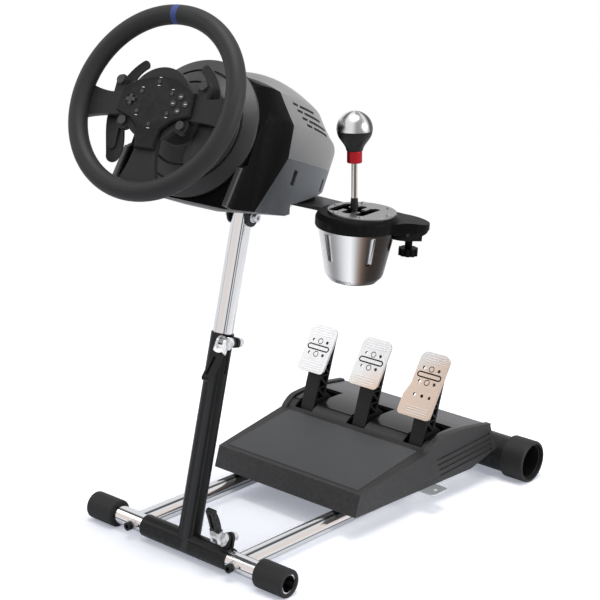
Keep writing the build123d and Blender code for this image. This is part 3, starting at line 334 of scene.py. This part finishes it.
def lever_finish():
    """Black handle on a bright cam, which is all that lies near one of the two pins."""
    f = Finish("clamp_lever")
    haze = f.cloud(120, 4)
    far = f.maths("MINIMUM", *(f.away(cam_pin(*pin)) for pin in CLAMP_PINS))
    handle = f.between(far, *CAM_BORDER)
    coat = f.blend(haze, grey(0.004), grey(0.010))
    coat = f.blend(f.rubbed(), coat, grey(0.06))
    cam = f.blend(f.between(haze, 0.4, 0.6), grey(0.45), grey(0.92))
    return f.surface(Base_Color=f.blend(handle, cam, coat), Metallic=1.0 - handle,
                     Roughness=0.18 + haze * 0.12, Specular_IOR_Level=0.12,
                     Normal=f.bump(f.cloud(700, 2), 0.03))


def pedal_plastic():
    f = Finish("grained_pedal_plastic")
    grain = f.cloud(1300, 2)
    scuff = f.cloud(34, 5)
    body = f.blend(scuff, grey(0.018, 0.01), grey(0.030, 0.01))
    return f.surface(Base_Color=f.blend(f.rubbed(), body, grey(0.08)),
                     Roughness=0.42 + scuff * 0.16, Specular_IOR_Level=0.34,
                     Normal=f.bump(grain, 0.12))


def arm_plastic():
    f = Finish("black_arm_plastic")
    grain = f.cloud(1500, 2)
    haze = f.cloud(60, 4)
    return f.surface(Base_Color=f.blend(haze, grey(0.007), grey(0.014)),
                     Roughness=0.4 + haze * 0.14, Specular_IOR_Level=0.3,
                     Normal=f.bump(grain, 0.06))


def rest_grain():
    f = Finish("foot_rest_grain")
    pebbles = f.pips(420)
    tread = f.cloud(20, 5)
    return f.surface(Base_Color=f.blend(tread, grey(0.050, -0.02), grey(0.070, -0.02)),
                     Roughness=0.5 + tread * 0.14, Specular_IOR_Level=0.4,
                     Normal=f.bump(pebbles + f.cloud(1400, 2) * 0.4, 0.18))


def deck_gloss():
    f = Finish("glossy_deck")
    haze = f.cloud(60, 5)
    fine = f.cloud(1800, 2)
    return f.surface(Base_Color=f.blend(haze, grey(0.005), grey(0.010)),
                     Roughness=0.14 + haze * 0.1, Normal=f.bump(fine, 0.02))


def brushed_pedal():
    """Aluminium, warmer towards one lower corner, with painted highlights on its ribs."""
    f = Finish("brushed_aluminium")
    strokes = f.cloud(1400, 3, (0.03, 1, 1))
    wear = f.cloud(70, 4)
    metal = f.blend(strokes, grey(0.50), grey(0.70))
    metal = f.blend(wear * 0.5, metal, grey(0.84))
    warm = f.between(f.along(at(*PEDAL_WARM_START), PEDAL_WARM_WAY), *PEDAL_WARM_BORDER)
    metal = f.blend(warm * 0.8, metal, (0.64, 0.48, 0.37, 1))
    # Painted highlight: a lighter colour on the tops of the ribs.
    facing = pedal_place["brake"].to_3x3() @ UP
    rib_highlight = f.between(f.along(at(0, PEDAL_Y, PEDAL_Z), facing), *PEDAL_RIB_HIGHLIGHT_BORDER)
    metal = f.blend(rib_highlight * 0.45, metal, grey(1.0))
    return f.surface(Base_Color=metal, Metallic=1.0, Roughness=0.30 + strokes * 0.16,
                     Normal=f.bump(strokes, 0.05))


def rim_rubber():
    f = Finish("rim_rubber")
    pores = f.pips(1150)
    hand = f.cloud(30, 5)
    return f.surface(Base_Color=f.blend(hand, grey(0.017), grey(0.028)),
                     Roughness=0.46 + hand * 0.16, Specular_IOR_Level=0.3,
                     Normal=f.bump(pores, 0.10))


def blue_stripe():
    f = Finish("blue_stripe")
    weave = f.cloud(1200, 2)
    blue = f.blend(f.cloud(90, 4), (0.022, 0.045, 0.20, 1), (0.04, 0.075, 0.27, 1))
    return f.surface(Base_Color=blue, Roughness=0.48 + weave * 0.12, Normal=f.bump(weave, 0.08))


def hub_plastic():
    f = Finish("hub_plastic")
    haze = f.cloud(70, 5)
    body = f.blend(haze, grey(0.006), grey(0.011))
    return f.surface(Base_Color=f.blend(f.rubbed(), body, grey(0.05)),
                     Roughness=0.34 + haze * 0.12, Specular_IOR_Level=0.14,
                     Normal=f.bump(f.cloud(1500, 2), 0.03))


def spider_metal():
    f = Finish("spider_metal")
    strokes = f.cloud(900, 3, (0.06, 1, 1))
    return f.surface(Base_Color=f.blend(strokes, grey(0.024), grey(0.040)), Metallic=0.25,
                     Roughness=0.36 + strokes * 0.16, Specular_IOR_Level=0.15,
                     Normal=f.bump(strokes, 0.03))


def button_plastic():
    f = Finish("button_plastic")
    thumb = f.cloud(180, 4)
    body = f.blend(thumb, grey(0.010), grey(0.022))
    return f.surface(Base_Color=f.blend(f.rubbed(), body, grey(0.10)),
                     Roughness=0.3 + thumb * 0.16, Normal=f.bump(f.cloud(1600, 2), 0.03))


def satin_housing():
    f = Finish("satin_black_housing")
    grain = f.cloud(1500, 2)
    haze = f.cloud(26, 5)
    body = f.blend(haze, grey(0.003), grey(0.006))
    return f.surface(Base_Color=f.blend(f.rubbed(), body, grey(0.03)),
                     Roughness=0.32 + haze * 0.12, Specular_IOR_Level=0.03,
                     Normal=f.bump(grain, 0.04))


def dome_rings():
    f = Finish("dome_rings")
    grain = f.cloud(1300, 2)
    haze = f.cloud(34, 5)
    return f.surface(Base_Color=f.blend(haze, grey(0.022), grey(0.036)),
                     Roughness=0.34 + haze * 0.14, Specular_IOR_Level=0.45,
                     Normal=f.bump(grain, 0.05))


def silver_paint():
    """Flake paint with painted light and shade: lighter upwards and to the photograph's right."""
    f = Finish("gunmetal_shell_paint")
    flake = f.cloud(2600, 1)
    drift = f.cloud(5, 3)
    # Painted light and shade: the shell grows lighter upwards and to the right, where the light falls.
    painted_light = f.between(f.along(middle("base_shell"), SHELL_PAINTED_LIGHT_WAY), *SHELL_PAINTED_LIGHT_BORDER)
    body = f.blend(painted_light * 0.85 + drift * 0.15, grey(0.09, -0.05), grey(0.60, 0.05))
    return f.surface(Base_Color=f.blend(flake * 0.35, body, grey(0.5)), Metallic=0.7,
                     Roughness=0.32 + drift * 0.1, Coat_Weight=0.2, Normal=f.bump(flake, 0.01))


def grey_housing():
    """Bluish plastic with painted light and shade: lighter to the photograph's right."""
    f = Finish("dark_grey_housing")
    grain = f.cloud(1400, 2)
    haze = f.cloud(26, 5)
    # Painted light and shade: lighter to the right, where the light falls.
    painted_light = f.between(f.along(middle("base_lower"), RIGHT), *LOWER_PAINTED_LIGHT_BORDER)
    body = f.blend(painted_light * 0.9 + haze * 0.1, grey(0.030, -0.14), grey(0.24, -0.06))
    return f.surface(Base_Color=f.blend(f.rubbed(), body, grey(0.12)),
                     Roughness=0.42 + haze * 0.12, Normal=f.bump(grain, 0.08))


def trim_grey():
    f = Finish("light_grey_trim")
    grain = f.cloud(1600, 2)
    haze = f.cloud(50, 4)
    return f.surface(Base_Color=f.blend(haze, grey(0.07), grey(0.10)), Metallic=0.3,
                     Roughness=0.34 + haze * 0.12, Normal=f.bump(grain, 0.05))


def brushed_bucket():
    """Steel with painted reflections in upright streaks, a painted dark side, and five pockets with
    painted shade.
    """
    f = Finish("brushed_steel")
    turn = f.around(middle("shifter_bucket"))
    strokes = f.cloud(700, 4, (0.05, 0.05, 1))
    # Painted reflections: upright light streaks that fade to a painted dark side.
    painted_shine = f.maths("COSINE", turn * BUCKET_REFLECTION_STREAKS + BUCKET_REFLECTION_START) * 0.34 + 0.66
    shaded_side = f.between(turn, *BUCKET_SHADED_SIDE)
    painted_shine = painted_shine * shaded_side * shaded_side
    # Painted reflection: a warm tone on part of the wall.
    warm = f.blend(f.between(turn, *BUCKET_WARM_REFLECTION), grey(0.97), (0.85, 0.60, 0.45, 1))
    wall = f.blend(painted_shine, (0.024, 0.016, 0.012, 1), warm)
    # Painted shade and highlight inside the five pockets.
    beside = f.node("ShaderNodeMath", {"operation": "WRAP"},
                    {0: turn + POCKET_START, 1: pi / POCKETS, 2: -pi / POCKETS})
    below = f.along((0, 0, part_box("shifter_bucket")[1][2]), -UP)
    pocket_shading = (f.band(beside, 0, POCKET_HALF) * f.between(below, *POCKET_TOP)
              * f.between(below, *POCKET_FOOT))
    wall = f.blend(pocket_shading, wall, f.blend(f.between(beside, *POCKET_SHADE_AND_HIGHLIGHT), grey(0.04), grey(0.85)))
    return f.surface(Base_Color=f.blend(strokes * 0.05, wall, grey(0.6)), Metallic=1.0,
                     Roughness=0.16 + strokes * 0.14, Normal=f.bump(strokes, 0.02))


def gate_metal():
    f = Finish("gate_metal")
    strokes = f.cloud(1300, 3, (0.05, 1, 1))
    return f.surface(Base_Color=f.blend(strokes, grey(0.26), grey(0.44)), Metallic=1.0,
                     Roughness=0.24 + strokes * 0.16, Normal=f.bump(strokes, 0.03))


def knob_chrome():
    """Polished ball with upright dark streaks of painted reflection."""
    f = Finish("knob_chrome")
    palm = f.cloud(80, 4)
    turn = f.around(middle("gear_knob_cap"))
    metal = f.blend(palm, grey(0.84), grey(0.94))
    # Painted reflections: dark upright bands round the ball.
    for centre, half, level in KNOB_PAINTED_REFLECTIONS:
        metal = f.blend(f.band(turn, centre, half), metal, grey(level, 0.02))
    return f.surface(Base_Color=metal, Metallic=1.0, Roughness=0.22 + palm * 0.08,
                     Normal=f.bump(f.cloud(900, 1), 0.01))


def stick_steel():
    """Bright rod with a dark streak of painted reflection."""
    f = Finish("stick_steel")
    palm = f.cloud(80, 4)
    axis = lever_place.to_3x3() @ UP
    across = (RIGHT - RIGHT.dot(axis) * axis).normalized()
    # Painted reflection: a dark streak along the rod.
    dark_reflection = f.band(f.along(lever_place.to_translation(), across), *STICK_PAINTED_REFLECTION)
    metal = f.blend(palm, grey(0.7, 0.02), grey(0.85, 0.02))
    metal = f.blend(dark_reflection, metal, (0.16, 0.13, 0.10, 1))
    return f.surface(Base_Color=metal, Metallic=1.0, Roughness=0.16 + palm * 0.1,
                     Normal=f.bump(f.cloud(900, 1), 0.01))


def knob_plastic():
    f = Finish("knob_plastic")
    palm = f.cloud(120, 4)
    return f.surface(Base_Color=f.blend(palm, grey(0.006), grey(0.012)),
                     Roughness=0.32 + palm * 0.12, Specular_IOR_Level=0.25,
                     Normal=f.bump(f.cloud(1500, 2), 0.02))


def red_anodised():
    f = Finish("red_anodised")
    turning = f.cloud(1500, 2, (0.04, 0.04, 1))
    red = f.blend(turning, (0.34, 0.003, 0.010, 1), (0.54, 0.008, 0.018, 1))
    return f.surface(Base_Color=red, Metallic=0.6, Roughness=0.22 + turning * 0.16,
                     Normal=f.bump(turning, 0.03))


def paddle_metal():
    f = Finish("paddle_metal")
    strokes = f.cloud(1200, 3, (1, 0.05, 0.05))
    return f.surface(Base_Color=f.blend(strokes, grey(0.022), grey(0.046)), Metallic=0.5,
                     Roughness=0.32 + strokes * 0.16, Specular_IOR_Level=0.35,
                     Normal=f.bump(strokes, 0.03))


# Painted shade: a dark colour for the shade inside the pedal plates' grooves.
def painted_groove_shade():
    f = Finish("painted_groove_shade")
    worn = f.cloud(500, 3)
    return f.surface(Base_Color=f.blend(worn, grey(0.006), grey(0.016)),
                     Roughness=0.5 + worn * 0.2, Specular_IOR_Level=0.2,
                     Normal=f.bump(worn, 0.02))


def white_print():
    f = Finish("white_print")
    worn = f.cloud(700, 3)
    return f.surface(Base_Color=f.blend(worn, grey(0.62), grey(0.82)),
                     Roughness=0.4 + worn * 0.15, Normal=f.bump(worn, 0.01))


# Every solid of the frame gets softened edges and its finish; edges are in millimetres.
SHARP_ANGLE = radians(35)
FLAT_ANGLE = radians(0.4)
MERGE_DISTANCE = 0.002 * MM
PLATE_CORNER = 13
CORNER_CUTS = (22.5, 45, 67.5)


def alone(piece):
    """Only this piece is selected, and it is the one worked on."""
    bpy.ops.object.select_all(action="DESELECT")
    piece.select_set(True)
    bpy.context.view_layer.objects.active = piece


def soften(piece, edge, steps):
    """Rounds the sharp edges and smooths the faces between them."""
    alone(piece)
    if edge:
        bevel = piece.modifiers.new("edges", "BEVEL")
        bevel.width = edge * MM
        bevel.segments = steps
        bevel.limit_method = "ANGLE"
        bevel.angle_limit = SHARP_ANGLE
        bpy.ops.object.modifier_apply(modifier=bevel.name)
    bpy.ops.object.shade_smooth_by_angle(angle=SHARP_ANGLE)
    flat = piece.modifiers.new("flat_faces", "WEIGHTED_NORMAL")
    flat.keep_sharp = True
    bpy.ops.object.modifier_apply(modifier=flat.name)


def dress(node, finish, edge=0.6, steps=2, cuts=()):
    """A merged copy with cut corners, rounded edges and a finish stands for a solid."""
    piece = bpy.data.objects.new(node + "_dressed", frame["nodes"][node].data.copy())
    bpy.context.scene.collection.objects.link(piece)
    alone(piece)
    bpy.ops.object.mode_set(mode="EDIT")
    bpy.ops.mesh.select_all(action="SELECT")
    bpy.ops.mesh.remove_doubles(threshold=MERGE_DISTANCE)
    for point, way in cuts:
        bpy.ops.mesh.select_all(action="SELECT")
        bpy.ops.mesh.bisect(plane_co=point, plane_no=way, use_fill=True, clear_outer=True)
    bpy.ops.mesh.select_all(action="SELECT")
    bpy.ops.mesh.dissolve_limited(angle_limit=FLAT_ANGLE)
    bpy.ops.object.mode_set(mode="OBJECT")
    soften(piece, edge, steps)
    piece.data.materials.clear()
    piece.data.materials.append(finish)
    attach(piece, BODY_OF[node])
    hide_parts(node)


def dress_all(nodes, finish, edge=0.6, steps=2):
    for node in nodes.split():
        dress(node, finish, edge, steps)


def top_corners(name, place):
    """Planes that round a pedal plate's two upper corners."""
    _, width, high = PEDALS[name]
    planes = []
    for sign in (-1, 1):
        centre = Vector((sign * (width / 2 - PLATE_CORNER), high - PLATE_CORNER, 0))
        for angle in CORNER_CUTS:
            way = Vector((sign * cos(radians(angle)), sin(radians(angle)), 0))
            planes.append((place @ ((centre + way * PLATE_CORNER) * MM), place.to_3x3() @ way))
    return planes


# Floor frame and post.
dress_all("front_tube rail_left rail_right",
          chrome_tube("low_chrome", at(0, 0, TUBE_Z), UP, LOW_PAINTED_REFLECTIONS, LOW_WARM_REFLECTION), 0.4)
dress("slider_tube", chrome_tube("slider_chrome", middle("slider_tube"), ACROSS_POST,
                                 SLIDER_PAINTED_REFLECTIONS, SLIDER_WARM_REFLECTION), 0.4)
dress_all("rear_tube post_tube plate_bracket wheel_plate shifter_arm", powder_coat())
dress_all("front_foot_left front_foot_right rear_foot_left rear_foot_right", foot_rubber(), 0.8)
dress("rail_bolts", black_bolt(), 0.4)
dress_all("bracket_bolt pedal_rod pedal_strap arm_bolts top_clamp_bolt low_clamp_bolt",
          zinc_plate(), 0.4)
dress_all("top_lever low_lever", lever_finish(), 0.8, 3)

# Pedal set.
dress("pedal_base", pedal_plastic(), 1.6, 3)
dress_all("clutch_arm brake_arm throttle_arm", arm_plastic(), 0.5)
dress("foot_rest", rest_grain(), 0.8)
dress("pedal_deck", deck_gloss(), 0.5)
brushed = brushed_pedal()
for name, place in pedal_place.items():
    dress(name + "_plate", brushed, 0.4, cuts=top_corners(name, place))

# Wheel base and wheel.
housing_black = satin_housing()
dress("base_front", housing_black, 1.6, 3)
dress("wheel_collar", dome_rings(), 0.7)
dress("base_shell", silver_paint(), 1.0, 3)
dress("base_lower", grey_housing(), 1.0, 3)
dress("base_trim", trim_grey(), 0.8)
dress("rim_grip", rim_rubber(), 0.3)
dress("rim_stripe", blue_stripe(), 0)
dress("wheel_spider", spider_metal(), 0.8)
dress("hub_plate", hub_plastic(), 0.5)
dress("hub_buttons", button_plastic(), 0.5, 3)
dress("wheel_boss", housing_black, 0.7)
dress_all("paddle_left paddle_right", paddle_metal())

# Shifter.
dress_all("shifter_housing shifter_clamp shifter_cradle", housing_black, 0.8, 3)
dress("shifter_bucket", brushed_bucket())
dress_all("shifter_gate shifter_gimbal", gate_metal(), 0.4)
dress("gear_stick", stick_steel(), 0)
dress("gear_knob_cap", knob_chrome(), 0)
dress("gear_knob_base", knob_plastic(), 0)
dress("gear_collar", red_anodised(), 0.3)


# Small fittings, each begun as a cylinder in its place and sized in millimetres.
def begin(name, place, spot, radius, tall, sides):
    """A cylinder open for editing, with its own axes along the place's."""
    seat = place @ Matrix.Translation(Vector(spot) * MM)
    bpy.ops.object.select_all(action="DESELECT")
    bpy.ops.mesh.primitive_cylinder_add(vertices=sides, radius=radius * MM, depth=tall * MM,
                                        location=seat.to_translation(), rotation=seat.to_euler())
    piece = bpy.context.object
    piece.name = name
    bpy.ops.object.mode_set(mode="EDIT")
    bpy.ops.mesh.select_mode(type="FACE")
    return piece


def pick(piece, wanted):
    """Selects the faces whose normal is wanted, and no others."""
    form = bmesh.from_edit_mesh(piece.data)
    for face in form.faces:
        face.select_set(bool(wanted(face.normal)))
    bmesh.update_edit_mesh(piece.data)


def shift(piece, wanted, move):
    """Moves the picked faces along the piece's own axes."""
    pick(piece, wanted)
    bpy.ops.transform.translate(value=piece.matrix_world.to_3x3() @ Vector(move) * MM)


def part_ends(piece, half):
    """Draws a round piece out to both sides."""
    for sign in (-1, 1):
        shift(piece, lambda way: sign * way.x > 0.05, (sign * half, 0, 0))


def complete(piece, finish, edge, body, slot):
    """Sets a shaped piece in the frame with its edges, its finish and its body."""
    bpy.ops.mesh.select_all(action="SELECT")
    bpy.ops.mesh.normals_make_consistent(inside=False)
    bpy.ops.object.mode_set(mode="OBJECT")
    alone(piece)
    bpy.ops.object.transform_apply(location=True, rotation=True, scale=True)
    soften(piece, edge, 2)
    piece.data.materials.append(finish)
    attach(piece, body)


def again(piece, name, move, body, slot):
    """Copy with its own mesh, moved."""
    copy = piece.copy()
    copy.data = piece.data.copy()
    copy.name = name
    bpy.context.scene.collection.objects.link(copy)
    alone(copy)
    bpy.ops.transform.translate(value=move)
    bpy.ops.object.transform_apply(location=True, rotation=True, scale=True)
    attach(copy, body)


# Dark rings of painted shade in the grooves of the pedal plates, counted down from the upper edge: a
# long one round the bar and a round one at each screw.
GROOVE_R = 4.95
GROOVE_TALL = 0.9
BAR_DOWN = 38.25
BAR_RISE = 3.6
BAR_WALL = 2.2
BAR_MARGIN = 9.5
SCREWS_DOWN = (27, 49.5)
SCREW_RISE = 3.1
SCREW_WALL = 1.05
groove_shade = painted_groove_shade()


def groove_fill(name, place, spot, wall, half, body, slot):
    """Dark ring of painted shade that lies in a groove of a pedal plate."""
    piece = begin(name, place, spot, GROOVE_R, GROOVE_TALL, 32)
    if half:
        part_ends(piece, half)
    pick(piece, lambda way: abs(way.z) > 0.9)
    bpy.ops.mesh.inset(thickness=wall * MM)
    bpy.ops.mesh.bridge_edge_loops()
    complete(piece, groove_shade, 0.15, body, slot)
    return piece


screw_ring = None
for name, (_, width, high) in PEDALS.items():
    place = pedal_place[name]
    held = (BODY_OF[name + "_plate"], SLOT_OF[name + "_arm"])
    groove_fill(name + "_bar_groove", place, (0, high - BAR_DOWN, BAR_RISE), BAR_WALL,
                width / 2 - BAR_MARGIN, *held)
    for number, down in enumerate(SCREWS_DOWN):
        ring_name = f"{name}_screw_groove_{number}"
        spot = (0, high - down, SCREW_RISE)
        point = place @ (Vector(spot) * MM)
        if screw_ring is None:
            screw_ring = groove_fill(ring_name, place, spot, SCREW_WALL, 0, *held)
            first = point
        else:
            again(screw_ring, ring_name, point - first, *held)

# Black sleeve at the foot of the gear stick.
SLEEVE_Z = 87.5
SLEEVE_R = 5.4
SLEEVE_TALL = 14
SLEEVE_TAPER = 0.86
sleeve = begin("stick_sleeve", lever_place, (0, 0, SLEEVE_Z), SLEEVE_R, SLEEVE_TALL, 32)
pick(sleeve, lambda way: way.z > 0.9)
bpy.ops.transform.resize(value=(SLEEVE_TAPER, SLEEVE_TAPER, SLEEVE_TAPER))
bpy.ops.mesh.inset(thickness=0.4 * MM, depth=0.5 * MM)
complete(sleeve, knob_plastic(), 0.3, BODY_OF["gear_stick"], SLOT_OF["gear_knob_base"])

# Skirt that thickens the shifter's lobe towards the bucket and slopes up to the lobe's end.
SKIRT_Y = 72
SKIRT_Z = -6
SKIRT_R = 24.5
SKIRT_TALL = 12
SKIRT_REACH = 7
SKIRT_LIP_Z = 3
SKIRT_SLOPE = Vector((0, 0.24, -1)).normalized()
skirt = begin("lobe_skirt", lobe_place, (0, SKIRT_Y, SKIRT_Z), SKIRT_R, SKIRT_TALL, 48)
shift(skirt, lambda way: way.y < -0.05, (0, -SKIRT_REACH, 0))
bpy.ops.mesh.select_all(action="SELECT")
bpy.ops.mesh.bisect(plane_co=skirt.matrix_world @ (Vector((0, SKIRT_R, SKIRT_LIP_Z)) * MM),
                    plane_no=skirt.matrix_world.to_3x3() @ SKIRT_SLOPE,
                    use_fill=True, clear_outer=True)
complete(skirt, housing_black, 1.5, BODY_OF["shifter_housing"], SLOT_OF["shifter_housing"])

# White marks by the wheel's buttons: a dash is modelled once and copied.
DASH_SPOT = (0, 22.6, 1.1)
DASH_R = 0.55
DASH_TALL = 0.3
DASH_HALF = 1.5
OTHER_DASHES = ((24, 18.6, 0), (-24, 18.6, 0), (24, -19.4, 0), (-24, -19.4, 0), (0, 33.5, 0),
                (0, -35.4, 0), (49.2, 0, 1), (29.8, 0, 1), (39.5, 9.7, 1), (39.5, -9.7, 1))
held = (BODY_OF["hub_plate"], SLOT_OF["hub_buttons"])
dash = begin("hub_mark_0", wheel_place, DASH_SPOT, DASH_R, DASH_TALL, 16)
part_ends(dash, DASH_HALF)
pick(dash, lambda way: way.z > 0.9)
bpy.ops.mesh.inset(thickness=0.1 * MM, depth=0.06 * MM)
complete(dash, white_print(), 0.05, *held)
for number, (x, y, rise) in enumerate(OTHER_DASHES, 1):
    move = wheel_place.to_3x3() @ Vector((x, y - DASH_SPOT[1], rise)) * MM
    again(dash, f"hub_mark_{number}", move, *held)


# View, light and floor.
IMAGE = 600
FOCAL_PIXELS = 1651.7
CENTRE_PIXEL = (257.5, 290.3)
ELEVATION = radians(16.24)
ROLL = radians(1.66)
DISTANCE = 2.4193
SENSOR = 36.0
AIM = middle("front_tube") + Vector((-4.23, 143.20, 353.54)) * MM

SOFT_LIGHT = (0.45, 0.46, 0.5, 1)
SHEEN_LIGHT = (0.78, 0.78, 0.8, 1)
WHITE = (1, 1, 1, 1)
LAMPS = (("top_lamp", (0.3, -0.4, 3.4), 1.9, 62, (1.0, 0.985, 0.96)),
         ("right_lamp", (2.8, 0.5, 1.5), 1.5, 32, (1.0, 1.0, 1.0)),
         ("left_lamp", (-2.6, -1.4, 2.0), 1.6, 12, (1.0, 1.0, 1.0)))

FLOOR_SIZE = 8
FLOOR_FADE = (0.65, 1.6)
FLOOR_GLOW = (0.07, 0.078, 0.1, 1)
FLOOR_SEEN_GLOW = (0.26, 0.27, 0.31, 1)


def view_from_photograph():
    """Camera at the photograph's angle, with its framing as a small shift."""
    back = TOWARD * cos(ELEVATION) + Vector((0, 0, sin(ELEVATION)))
    upright = back.cross(RIGHT)
    right = cos(ROLL) * RIGHT + sin(ROLL) * upright
    up = cos(ROLL) * upright - sin(ROLL) * RIGHT
    data = bpy.data.cameras.new("camera")
    data.sensor_width = SENSOR
    data.lens = FOCAL_PIXELS / IMAGE * SENSOR
    data.shift_x = (IMAGE / 2 - CENTRE_PIXEL[0]) / IMAGE
    data.shift_y = (CENTRE_PIXEL[1] - IMAGE / 2) / IMAGE
    camera = bpy.data.objects.new("camera", data)
    bpy.context.scene.collection.objects.link(camera)
    turn = Matrix((right, up, back)).transposed().to_4x4()
    camera.matrix_world = Matrix.Translation(AIM + back * DISTANCE) @ turn
    bpy.context.scene.camera = camera


def white_surroundings():
    """White to the eye, a little less in reflections, and a soft cool light on the stand."""
    world = bpy.data.worlds.new("surroundings")
    bpy.context.scene.world = world
    world.use_nodes = True
    nodes = world.node_tree.nodes
    links = world.node_tree.links
    path = nodes.new("ShaderNodeLightPath")
    colour = nodes["Background"].inputs["Color"]
    for ray, shown in (("Is Camera Ray", WHITE), ("Is Glossy Ray", SHEEN_LIGHT)):
        choice = nodes.new("ShaderNodeMix")
        choice.data_type = "RGBA"
        links.new(path.outputs[ray], choice.inputs[0])
        choice.inputs[7].default_value = shown
        links.new(choice.outputs[2], colour)
        colour = choice.inputs[6]
    colour.default_value = SOFT_LIGHT
    nodes["Background"].inputs["Strength"].default_value = 1.0


def pale_floor():
    """White floor that keeps the stand's shadow and ends in the white round it."""
    bpy.ops.object.select_all(action="DESELECT")
    bpy.ops.mesh.primitive_plane_add(size=FLOOR_SIZE)
    floor = bpy.context.object
    floor.name = "floor"
    f = Finish("pale_floor")
    floor.data.materials.append(f.material)
    seen = f.node("ShaderNodeLightPath", {}, {}, "Is Camera Ray")
    diffuse = f.node("ShaderNodeBsdfDiffuse", {}, {"Color": f.blend(seen, grey(0.8), grey(1.0))})
    glow = f.node("ShaderNodeEmission", {}, {"Color": f.blend(seen, FLOOR_GLOW, FLOOR_SEEN_GLOW)})
    lit = f.node("ShaderNodeAddShader", {}, {0: diffuse, 1: glow})
    clear = f.node("ShaderNodeBsdfTransparent", {}, {})
    outer = f.between(f.away((0, 0, 0)), *FLOOR_FADE)
    both = f.node("ShaderNodeMixShader", {}, {0: outer, 1: lit, 2: clear})
    f.join(both, f.tree.nodes["Material Output"].inputs["Surface"])


def lamp(name, place, size, power, colour):
    """Large soft lamp that faces the stand."""
    data = bpy.data.lights.new(name, "AREA")
    data.shape = "DISK"
    data.size = size
    data.energy = power
    data.color = colour
    lamp_object = bpy.data.objects.new(name, data)
    bpy.context.scene.collection.objects.link(lamp_object)
    place = Vector(place)
    lamp_object.location = place
    lamp_object.rotation_euler = (AIM - place).to_track_quat("-Z", "Y").to_euler()


view_from_photograph()
white_surroundings()
pale_floor()
for values in LAMPS:
    lamp(*values)
bpy.context.scene.view_settings.view_transform = "Standard"
